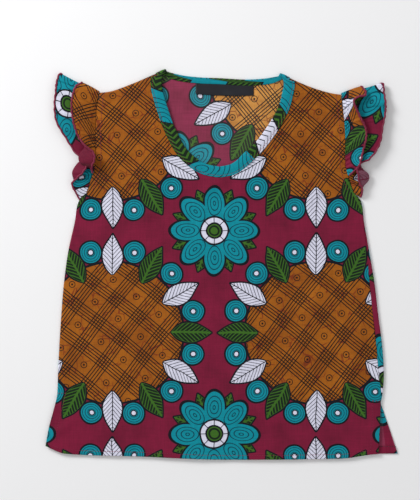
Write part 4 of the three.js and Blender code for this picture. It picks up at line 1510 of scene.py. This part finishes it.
class PrintGroup:
    """The wax-resist print as a node group, from the cloth's flat cut in metres to a colour."""

    def __init__(self, layout: PrintLayout) -> None:
        """Build the group once, to the sizes of a layout."""
        self.layout = layout
        inputs = {"Cut": "Vector", "Ground": "Color", "Round": "Color"}
        self.tree = new_tree("wax_resist_print", "Shader", inputs, {"Colour": "Color"})
        self.given = add(self.tree, "NodeGroupInput").outputs
        u, v = self.places()
        paint = Paint(self.tree, self.given["Ground"])
        # soft dark maroon blotches over the ground: the print's mottle, made stronger so that it
        # also paints the soft shade of the cloth's waves
        dark = self.blotches(scale=30.0, detail=3.0, start=0.4, gain=2.4, most=0.8)
        paint.over(dark, DYES.maroon_mottle_and_shade)
        self.rounds(paint, u, v)
        self.rosettes(paint, u, v)
        add(self.tree, "NodeGroupOutput", {"Colour": paint.colour})

    def blotches(self, scale: float, detail: float, start: float, gain: float, most: float) -> Term:
        """Return soft patches of noise.

        Args:
            scale: how many patches there are to the metre.
            detail: how many finer layers the noise has.
            start: the noise value at which a patch begins.
            gain: how fast it strengthens.
            most: how strong it becomes.
        """
        field = {"Vector": self.given["Cut"], "Scale": scale, "Detail": detail}
        noise_value = Term(self.tree, add(self.tree, "ShaderNodeTexNoise", field).outputs["Fac"])
        return ((noise_value - start) * gain).least(most).either(0.0)

    def places(self) -> tuple[Term, Term]:
        """Return the place on the cloth in mm, with the slight waver of hand-cut blocks."""
        cut = self.given["Cut"]
        split = add(self.tree, "ShaderNodeSeparateXYZ", {"Vector": cut}).outputs
        waver = add(self.tree, "ShaderNodeTexNoise", {"Vector": cut, "Scale": 34.0, "Detail": 1.0})
        shift = add(self.tree, "ShaderNodeSeparateColor", {"Color": waver.outputs["Color"]}).outputs
        self.true_u = Term(self.tree, split["X"]) * 1000.0
        self.true_v = Term(self.tree, split["Y"]) * 1000.0
        u = self.true_u + (Term(self.tree, shift["Red"]) - 0.5) * 4.0
        v = self.true_v + (Term(self.tree, shift["Green"]) - 0.5) * 4.0
        return u, v

    def petals(
        self, x: Term, y: Term, radius: Term, count: int, turn: float
    ) -> tuple[Term, Term, Term]:
        """Return the place along and across the nearest petal round a centre, and its number.

        Args:
            x: place across the centre, mm.
            y: place up from it.
            radius: distance from it.
            count: how many petals go round.
            turn: the first petal's direction, in shares of the step between two.
        """
        step = 2 * math.pi / count
        angle = y.make("ARCTAN2", x) - turn * step
        number = (angle / step + 0.5).make("FLOOR")
        local = angle - number * step
        return radius * local.cosine(), radius * local.sine(), number

    def leaf(self, along: Term, across: Term, start: float, length: float, half: float) -> Term:
        """Return the distance into a pointed leaf, below 0 inside, mm."""
        share = ((along - start) / length).least(1.0).either(0.0)
        bulge = (share.make("POWER", 0.85) * math.pi).sine() * half
        outside = ((along - start) < 0.0).either(along > start + length)
        return abs(across) - bulge + outside * 9.0

    def rounds(self, paint: Paint, u: Term, v: Term) -> None:
        """Paint the ochre rounds, checked with fine brown lines and wreathed with leaves."""
        size = self.layout
        x = (u + size.pitch / 2).around(size.pitch)
        y = (v + size.row_shift).around(size.pitch)
        radius = hypot(x, y)
        inside = radius < size.round_radius
        paint.over(inside, self.given["Round"])
        dark = self.blotches(scale=34.0, detail=4.0, start=0.4, gain=2.6, most=0.9)
        paint.over(inside * dark, DYES.ochre_dark)
        patches = self.blotches(scale=75.0, detail=2.0, start=0.46, gain=7.0, most=0.85)
        paint.over(inside * (self.crackle() < 0.045) * patches, DYES.rust)
        paint.over(inside * self.check(), DYES.brown)
        paint.over(abs(radius - size.round_radius) < size.outline * 1.2, DYES.black)
        self.wreath(paint, x, y, radius)

    def crackle(self) -> Term:
        """Return the distance to the nearest crack of the wax, in shares of a cell."""
        cells = {"Vector": self.given["Cut"], "Scale": 105.0}
        cells = add(self.tree, "ShaderNodeTexVoronoi", cells, feature="DISTANCE_TO_EDGE")
        return Term(self.tree, cells.outputs["Distance"])

    def check(self) -> Term:
        """Return the mask of a plain slanting check, with a ringed dot in each diamond."""
        size = self.layout
        slant, across = 0.62, 0.785  # the check's direction
        first = self.true_u * slant + self.true_v * across
        second = self.true_u * across - self.true_v * slant
        lines, near = [], []
        for place, other in ((first, second), (second, first)):
            sway = place + (other * 0.045).sine() * 0.9
            away = abs(sway.around(size.check_pitch))
            line = abs(sway.around(size.check_pitch / 10)) < size.check_line
            lines.append(line * (away < size.check_pitch * 0.24))
            near.append(away * -1.0 + size.check_pitch / 2)
        middle = hypot(near[0], near[1])
        dots = (middle < 1.1).either(abs(middle - 3.2) < 0.42)
        return lines[0].either(lines[1]).either(dots)

    def wreath(self, paint: Paint, x: Term, y: Term, radius: Term) -> None:
        """Paint the leaves round an ochre round, green and white by turns, and teal buds."""
        size = self.layout
        bud_along, bud_across, _ = self.petals(x, y, radius, size.wreath_leaves, 0.5)
        bud = hypot(bud_along - size.bud_ring, bud_across)
        paint.over(bud < size.bud_radius, DYES.teal)
        paint.over((abs((bud - 4.2).around(2.6)) < 0.36) * (bud < size.bud_radius), DYES.teal_dark)
        paint.over(bud < 3.4, DYES.black)
        paint.over(bud < 2.2, DYES.white)
        paint.over(abs(bud - size.bud_radius) < size.outline, DYES.black)
        along, across, number = self.petals(x, y, radius, size.wreath_leaves, 0.0)
        edge = self.leaf(along, across, size.leaf_start, size.leaf_length, size.leaf_half_width)
        inside = edge < 0.0
        white = abs((number * 0.5).around(1.0)) > 0.25
        paint.over(inside, DYES.green)
        vein = (along - abs(across) * 1.1).around(size.vein_pitch)
        blocks = (abs(vein) < 1.5) * (edge < -1.3) * (abs(across) > 1.2)
        paint.over(blocks * white.opposite(), DYES.green_dark)
        paint.over(inside * white, DYES.white)
        paint.over(inside * white * (abs(vein) < 0.45), DYES.black)
        middle = (abs(across) < 0.5) * white
        paint.over(middle.either(abs(edge) < size.outline) * (edge < size.outline), DYES.black)

    def rosettes(self, paint: Paint, u: Term, v: Term) -> None:
        """Paint the big teal rosettes at the middle of each four rounds."""
        size = self.layout
        x = u.around(size.pitch)
        y = (v + size.row_shift + size.pitch / 2).around(size.pitch)
        radius = hypot(x, y)
        count = size.rosette_petals
        leaf_along, leaf_across, _ = self.petals(x, y, radius, count, 0.5)
        leaf = self.leaf(leaf_along, leaf_across, 18.0, 31.0, 7.6)
        paint.over(leaf < 0.0, DYES.green)
        vein = (leaf_along - abs(leaf_across)).around(size.vein_pitch)
        blocks = (leaf < -1.3) * (abs(vein) < 1.5)
        paint.over(blocks * (abs(leaf_across) > 1.0), DYES.green_dark)
        paint.over(abs(leaf) < size.outline, DYES.black)
        along, across, _ = self.petals(x, y, radius, count, 0.0)
        petal = hypot((along - 29.0) * 0.6, across) - 11.6
        paint.over(petal < 0.0, DYES.teal)
        ribs = (abs((petal + 1.0).around(3.1)) < 0.38) * (petal < -1.4)
        paint.over(ribs, DYES.teal_dark)
        paint.over(abs(petal) < size.outline, DYES.black)
        paint.over(radius < size.hub, DYES.white)
        paint.over((radius < size.hub) * (abs(across) < 0.45), DYES.black)
        paint.over(radius < size.eye, DYES.green)
        paint.over((radius < size.eye) * (abs(radius - 5.2) < 1.0), DYES.green_dark)
        paint.over(abs(radius - size.hub).least(abs(radius - size.eye)) < size.outline, DYES.black)


class ThreadWeave:
    """Plain weave as a node group: height of the threads and the unevenness of their colour."""

    def __init__(self) -> None:
        """Build the group once."""
        inputs = {"Cut": "Vector", "Pitch": "Float"}
        self.tree = new_tree("plain_weave", "Shader", inputs, {"Height": "Float", "Slub": "Float"})
        given = add(self.tree, "NodeGroupInput").outputs
        split = add(self.tree, "ShaderNodeSeparateXYZ", {"Vector": given["Cut"]}).outputs
        pitch = Term(self.tree, given["Pitch"])
        warp = (Term(self.tree, split["X"]) / pitch * math.pi).sine()
        weft = (Term(self.tree, split["Y"]) / pitch * math.pi).sine()
        height = (warp * weft) * 0.5 + (abs(warp) + abs(weft)) * 0.25
        slub = (self.slubs(given["Cut"], 720.0, 50.0) + self.slubs(given["Cut"], 50.0, 720.0)) * 0.5
        add(self.tree, "NodeGroupOutput", {"Height": height, "Slub": slub})

    def slubs(self, cut: Socket, across: float, along: float) -> Term:
        """Return the unevenness of one set of threads, with so many changes to the metre."""
        stretch = {0: cut, 1: (across, along, 1.0)}
        stretch = add(self.tree, "ShaderNodeVectorMath", stretch, operation="MULTIPLY")
        field = {"Vector": stretch.outputs["Vector"], "Scale": 1.0, "Detail": 2.0}
        return Term(self.tree, add(self.tree, "ShaderNodeTexNoise", field).outputs["Fac"])


# ---------------- finishes


@dataclass(frozen=True)
class Cotton:
    """A woven cotton finish."""

    name: str
    roughness: float = 0.72
    sheen: float = 0.05
    weave_pitch: float = 0.00042
    weave_depth: float = 0.00007
    faded: float = 0.0
    ground: Colour = DYES.maroon
    round: Colour = DYES.ochre
    fade_colour: Colour = shade(226, 206, 196)


@dataclass(frozen=True)
class Yarn:
    """An even thread or ribbon with fine streaks."""

    name: str
    colour: Colour
    roughness: float = 0.6
    sheen: float = 0.05
    streak: float = 0.2
    scale: tuple[float, float, float] = (900.0, 900.0, 900.0)


class Dresser:
    """Makes the finishes, each once."""

    def __init__(self) -> None:
        """Build the shared groups."""
        self.print_group = PrintGroup(PrintLayout())
        self.weave = ThreadWeave()

    def blank(self, name: str, inputs: dict) -> tuple[Material, Node]:
        """Return a new material and its Principled shader, with some of its inputs set."""
        material = bpy.data.materials.new(name)
        material.use_nodes = True
        return material, fill(material.node_tree.nodes["Principled BSDF"], inputs)

    def surface(
        self, shader: Node, tint: dict, rough: Term, height: Term, bump: tuple[float, float]
    ) -> None:
        """Give a shader its uneven colour, roughness and fine relief.

        Args:
            shader: the shader.
            tint: the colour and its unevenness, as inputs of a Hue/Saturation node.
            rough: the roughness.
            height: the relief's height.
            bump: the relief's strength and its depth in metres.
        """
        tree = shader.id_data
        relief = {"Strength": bump[0], "Distance": bump[1], "Height": height}
        inputs = {
            "Base Color": add(tree, "ShaderNodeHueSaturation", tint).outputs["Color"],
            "Roughness": rough,
            "Normal": add(tree, "ShaderNodeBump", relief).outputs["Normal"],
        }
        fill(shader, inputs)

    def woven(self, finish: Cotton, colour: Painter) -> Material:
        """Make a woven finish.

        Args:
            finish: its numbers.
            colour: builds the colour from the cloth's flat cut.
        """
        gloss = {"Sheen Weight": finish.sheen, "Sheen Roughness": 0.5, "Specular IOR Level": 0.16}
        material, shader = self.blank(finish.name, gloss)
        tree = material.node_tree
        cut = add(tree, "ShaderNodeUVMap", uv_map="Cut").outputs["UV"]
        weave = add(tree, "ShaderNodeGroup", node_tree=self.weave.tree)
        fill(weave, {"Cut": cut, "Pitch": finish.weave_pitch})
        slub = Term(tree, weave.outputs["Slub"])
        tint = {"Value": slub * 0.84 + 0.6, "Color": colour(tree, cut)}
        rough = slub * 0.16 + (finish.roughness - 0.08)
        height = Term(tree, weave.outputs["Height"]) + slub * 0.9
        self.surface(shader, tint, rough, height, (0.6, finish.weave_depth))
        return material

    def printed(self, finish: Cotton) -> Material:
        """Make cotton with the wax-resist print, faded towards one colour on a wrong side."""

        def colour(tree: Tree, cut: Socket) -> Socket:
            """Place the print group and fade it."""
            group = add(tree, "ShaderNodeGroup", node_tree=self.print_group.tree)
            fill(group, {"Cut": cut, "Ground": finish.ground, "Round": finish.round})
            paint = Paint(tree, group.outputs["Colour"])
            if finish.faded:
                paint.over(finish.faded, finish.fade_colour)
            return paint.colour

        return self.woven(finish, colour)

    def binding(self, finish: Cotton) -> Material:
        """Make the bias strip: teal with dark arcs, and stretches of leaf green and white."""

        def colour(tree: Tree, cut: Socket) -> Socket:
            """Paint arcs and stretches of leaf along the strip."""
            split = add(tree, "ShaderNodeSeparateXYZ", {"Vector": cut}).outputs
            u, v = Term(tree, split["X"]) * 1000.0, Term(tree, split["Y"]) * 1000.0
            slant = u * 0.86 + v * 0.5
            middle = v - 9.0
            near = hypot((slant + 9.0).around(52.0), middle)
            paint = Paint(tree, DYES.teal)
            paint.over((abs(near.around(4.4)) < 0.4) * (near < 24.0), DYES.teal_dark)
            patch = ((slant + 6.0) * 0.052).sine() + (slant * 0.0237).sine() * 0.7
            vein = abs((slant + abs(middle) * 0.8).around(5.0))
            far = 9.0  # past every value of the patches
            for low, high, cloth, mark, share in (
                (0.55, far, DYES.green, DYES.green_dark, 1.5),
                (1.15, far, DYES.white, DYES.black, 0.45),
                (-far, -1.3, DYES.green, DYES.green_dark, 1.5),
            ):
                inside = (patch > low) * (patch < high)
                paint.over(inside, cloth)
                paint.over(inside * (vein < share), mark)
                edge = low if low > -far else high
                paint.over(abs(patch - edge) < 0.032, DYES.black)
            return paint.colour

        return self.woven(finish, colour)

    def plain(self, finish: Yarn) -> Material:
        """Make an even thread or ribbon with fine streaks."""
        gloss = {"Sheen Weight": finish.sheen, "Specular IOR Level": 0.4}
        material, shader = self.blank(finish.name, gloss)
        tree = material.node_tree
        place = add(tree, "ShaderNodeTexCoord").outputs["Object"]
        stretch = add(tree, "ShaderNodeMapping", {"Vector": place, "Scale": finish.scale})
        streaks = {"Vector": stretch.outputs["Vector"], "Scale": 1.0, "Detail": 3.0}
        amount = Term(tree, add(tree, "ShaderNodeTexNoise", streaks).outputs["Fac"])
        value = amount * (2 * finish.streak) + (1 - finish.streak)
        rough = amount * 0.2 + (finish.roughness - 0.1)
        tint = {"Value": value, "Color": finish.colour}
        self.surface(shader, tint, rough, amount, (0.48, 0.00006))
        return material


# ---------------- the whole blouse


@dataclass
class Blouse:
    """The garment: panels, neck band, label, sleeves and all of its stitching."""

    lay: Lay = field(default_factory=Lay)

    def __post_init__(self) -> None:
        """Prepare the finishes and the shared edges."""
        dresser = Dresser()
        self.right_side = dresser.printed(Cotton("printed_cotton"))
        paler = {"faded": 0.03, "ground": shade(136, 30, 70), "round": shade(212, 148, 66)}
        self.wrong_side = dresser.printed(Cotton("printed_cotton_inside", **paler))
        plainer = {"faded": 0.9, "fade_colour": shade(102, 15, 45), "round": DYES.maroon}
        self.tier_inside = dresser.printed(Cotton("tier_cotton_inside", **plainer))
        self.binding = dresser.binding(Cotton("binding_cotton", weave_pitch=0.0004))
        fine = {"roughness": 0.55, "sheen": 0.03, "streak": 0.1, "scale": (4200.0, 160.0, 300.0)}
        self.ribbon = dresser.plain(Yarn("woven_label", shade(11, 13, 24), **fine))
        self.thread = dresser.plain(Yarn("sewing_thread", shade(130, 25, 61)))
        # dark thread for the label's end stitches, also used as painted shadow along the flap's
        # turned hem
        self.dark_thread_and_shadow = dresser.plain(Yarn("label_thread_and_flap_shadow", shade(22, 24, 34), sheen=0.1))
        self.neck = NeckEdge(self.lay)

    def dress(self, piece: Piece, *finishes: Material) -> None:
        """Give a piece its finishes, one a slot."""
        for finish in finishes:
            piece.data.materials.append(finish)

    def settle(self, piece: Piece, slot: str, *nodes: str) -> None:
        """Fix a piece to the garment and hide the model's solids that it stands for."""
        if nodes:
            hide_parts(*nodes)
        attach(piece, BODY)
        LOG.info("%s: %d faces", piece.name, len(piece.data.polygons))

    def stitch(
        self, kind: Stitch, name: str, lines: Sequence[Array], thread: Material, slot: str
    ) -> Piece:
        """Sew lines of stitches and fix them to the garment."""
        piece = kind.sew(name, lines, thread)
        self.settle(piece, slot)
        return piece

    def build_panels(self) -> None:
        """Make the front and the back with their stitching."""
        panels = Panels(self.lay, self.neck)
        self.front, self.back = panels.front(), panels.back()
        for piece, node in ((self.front, "front_panel"), (self.back, "back_panel")):
            self.dress(piece, self.right_side, self.wrong_side)
            self.settle(piece, "printed_cotton", node)
        rows = (
            (RUNNING_STITCH, "hem_stitches", self.hem_lines(panels), self.thread),
            (FINE_STITCH, "back_hem_stitches", self.back_lines(panels), self.thread),
            # the flap's stitches are sewn in dark thread, which paints the shadow along the top of
            # its turned hem
            (RUNNING_STITCH, "flap_shadow_stitches", self.flap_shadow_lines(panels), self.dark_thread_and_shadow),
        )
        sewn = [self.stitch(*row, "printed_cotton") for row in rows]
        self.hem_stitches, self.back_stitches, self.flap_shadow_stitches = sewn

    def surface_line(self, x: Array, y: Array, lift: float) -> Array:
        """Return a line of points on the front's outer face."""
        return np.stack([x, y, self.lay.front_top(x, y) + lift], axis=1)

    def hem_lines(self, panels: Panels) -> list[Array]:
        """Return the lines of stitches along the hem, the vents and the armholes."""
        x = np.linspace(-187.0, 166.0, 160)
        lines = [self.surface_line(x, panels.hem(x) + HEM_SEAM, 0.14)]
        edges = {"right": panels.seam, "left": panels.left}
        for (side, edge), start in zip(edges.items(), (-198.0, -190.0)):
            y = np.linspace(start, VENT_TOP[side] + 2.0, 24)
            lines.append(self.surface_line(edge(y) + INWARD[side] * VENT_SEAM, y, 0.14))
        for side, way in INWARD.items():
            top = VENT_TOP[side] + 2.0
            across = edges[side](top) + way * np.linspace(1.6, 8.4, 6)
            lines.append(self.surface_line(across, np.full(6, top), 0.16))
            arm = Path2(ARMHOLES[side]).spaced(60)[4:]
            away = np.gradient(arm, axis=0)
            inward = unit(np.column_stack([away[:, 1], -away[:, 0]]) * way)
            lines.append(self.surface_line(*(arm + ARMHOLE_SEAM * inward).T, 0.06))
        return lines

    def back_lines(self, panels: Panels) -> list[Array]:
        """Return the lines of stitches on the back's hem and vents, below and inside the flap."""
        x = np.linspace(-183.0, 185.0, 160)
        y = np.linspace(-196.0, VENT_TOP["right"] - 4.0, 24)
        left, right = panels.left(y) + VENT_SEAM + 1.8, panels.right(y) - VENT_SEAM
        lines = ((x, panels.hem(x) + HEM_SEAM), (right, y), (left, y))
        return [np.stack([a, b, np.full_like(a, 0.16)], axis=1) for a, b in lines]

    def flap_shadow_lines(self, panels: Panels) -> list[Array]:
        """Return the line of stitches at the top of the back's turned hem, inside the flap, whose
        dark thread paints the shadow along the hem's edge.
        """
        x = np.linspace(170.5, 187.5, 20)
        y = panels.hem(x) + 7.7
        z = self.lay.back_top(x, y) + flap_hem_lift(x) + 0.1
        return [np.stack([x, y, z], axis=1)]

    def build_neck(self) -> None:
        """Make the neck band and the label with their stitching."""
        band, label = NeckBand(self.neck), NeckLabel(self.lay)
        self.strip, self.tape = band.build(), label.build()
        self.dress(self.strip, self.binding)
        self.settle(self.strip, "binding_cotton", "neck_band")
        self.dress(self.tape, self.ribbon, self.ribbon)
        self.settle(self.tape, "woven_label", "neck_label")
        seams = [band.stitch_line(), band.lap_line()]
        self.neck_seams = self.stitch(
            BAND_STITCH, "neck_stitches", seams, self.thread, "binding_cotton"
        )
        self.label_ends = self.stitch(
            FINE_STITCH, "label_stitches", label.stitch_lines(), self.dark_thread_and_shadow, "woven_label"
        )

    def build_sleeves(self) -> None:
        """Make the four tiers with their rolled edges."""
        offsets = {
            ("left", TierKind.UPPER): (25.0, -57.0),
            ("left", TierKind.LOWER): (110.0, 73.0),
            ("right", TierKind.UPPER): (25.0, 13.0),
            ("right", TierKind.LOWER): (88.0, 92.0),
        }
        self.tiers: list[tuple[Tier, Piece, Piece]] = []
        for (side, kind), offset in offsets.items():
            tier = Tier(self.lay, side, kind, offset)
            piece = tier.build()
            self.dress(piece, self.right_side, self.tier_inside)
            self.settle(piece, "sleeve_cotton", f"sleeve_{side}_{kind.value}")
            name, line = f"{tier.name}_edge", [tier.edge()]
            rolled = self.stitch(ROLLED_EDGE, name, line, self.thread, "sleeve_cotton")
            self.tiers.append((tier, piece, rolled))

    def declare(self) -> None:
        """Work out the flat cut of each sleeve tier; the results are not kept."""
        for tier, piece, rolled in self.tiers:
            flat, area = tier.flat_cut()

    def build(self) -> None:
        """Make every piece."""
        self.build_panels()
        self.build_neck()
        self.build_sleeves()
        self.declare()


# ---------------- studio


@dataclass
class Studio:
    """A plain pale floor, soft light and a camera straight above."""

    view_height: float = 0.540
    distance: float = 1.7
    middle: tuple[float, float] = (-0.0127, 0.0164)
    focus_height: float = 0.003

    def floor(self) -> None:
        """Make the floor."""
        mesh = bpy.data.meshes.new("studio_floor")
        half = 4.0
        corners = [(-half, -half, 0), (half, -half, 0), (half, half, 0), (-half, half, 0)]
        mesh.from_pydata(corners, [], [(0, 1, 2, 3)])
        piece = placed("studio_floor", mesh)
        material = bpy.data.materials.new("studio_floor")
        material.use_nodes = True
        shader = material.node_tree.nodes["Principled BSDF"]
        fill(shader, {"Base Color": (0.92, 0.92, 0.93, 1.0), "Roughness": 0.85})
        mesh.materials.append(material)

    def lamp(self, name: str, place: tuple[float, float, float], size: float, power: float) -> None:
        """Add a soft lamp that looks at the garment's middle."""
        data = bpy.data.lights.new(name, "AREA")
        data.shape = "DISK"
        data.size = size
        data.energy = power
        lamp = placed(name, data)
        lamp.location = place
        lamp.rotation_euler = (-Vector(place)).to_track_quat("-Z", "Y").to_euler()

    def camera(self) -> None:
        """Place the camera above the garment, with its top towards the neck."""
        data = bpy.data.cameras.new("camera")
        data.sensor_fit = "VERTICAL"
        data.sensor_height = 24.0
        data.lens = 24.0 * self.distance / self.view_height
        data.clip_end = 20.0
        camera = placed("camera", data)
        camera.location = (*self.middle, self.distance + self.focus_height)
        bpy.context.scene.camera = camera

    def build(self) -> None:
        """Make the whole studio."""
        self.floor()
        self.lamp("key", (-1.35, 1.25, 1.05), size=0.8, power=34.0)
        self.lamp("fill", (1.3, -0.7, 1.7), size=1.8, power=4.0)
        world = bpy.data.worlds.new("studio_air")
        world.use_nodes = True
        air = {"Color": (1.0, 1.0, 1.0, 1.0), "Strength": 0.5}
        fill(world.node_tree.nodes["Background"], air)
        bpy.context.scene.world = world
        bpy.context.scene.view_settings.view_transform = "Standard"
        self.camera()


def main() -> None:
    """Build the blouse in its studio."""
    logging.basicConfig(level=logging.INFO, format="%(name)s %(message)s")
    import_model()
    Studio().build()
    Blouse().build()


if __name__ == "__main__":
    main()
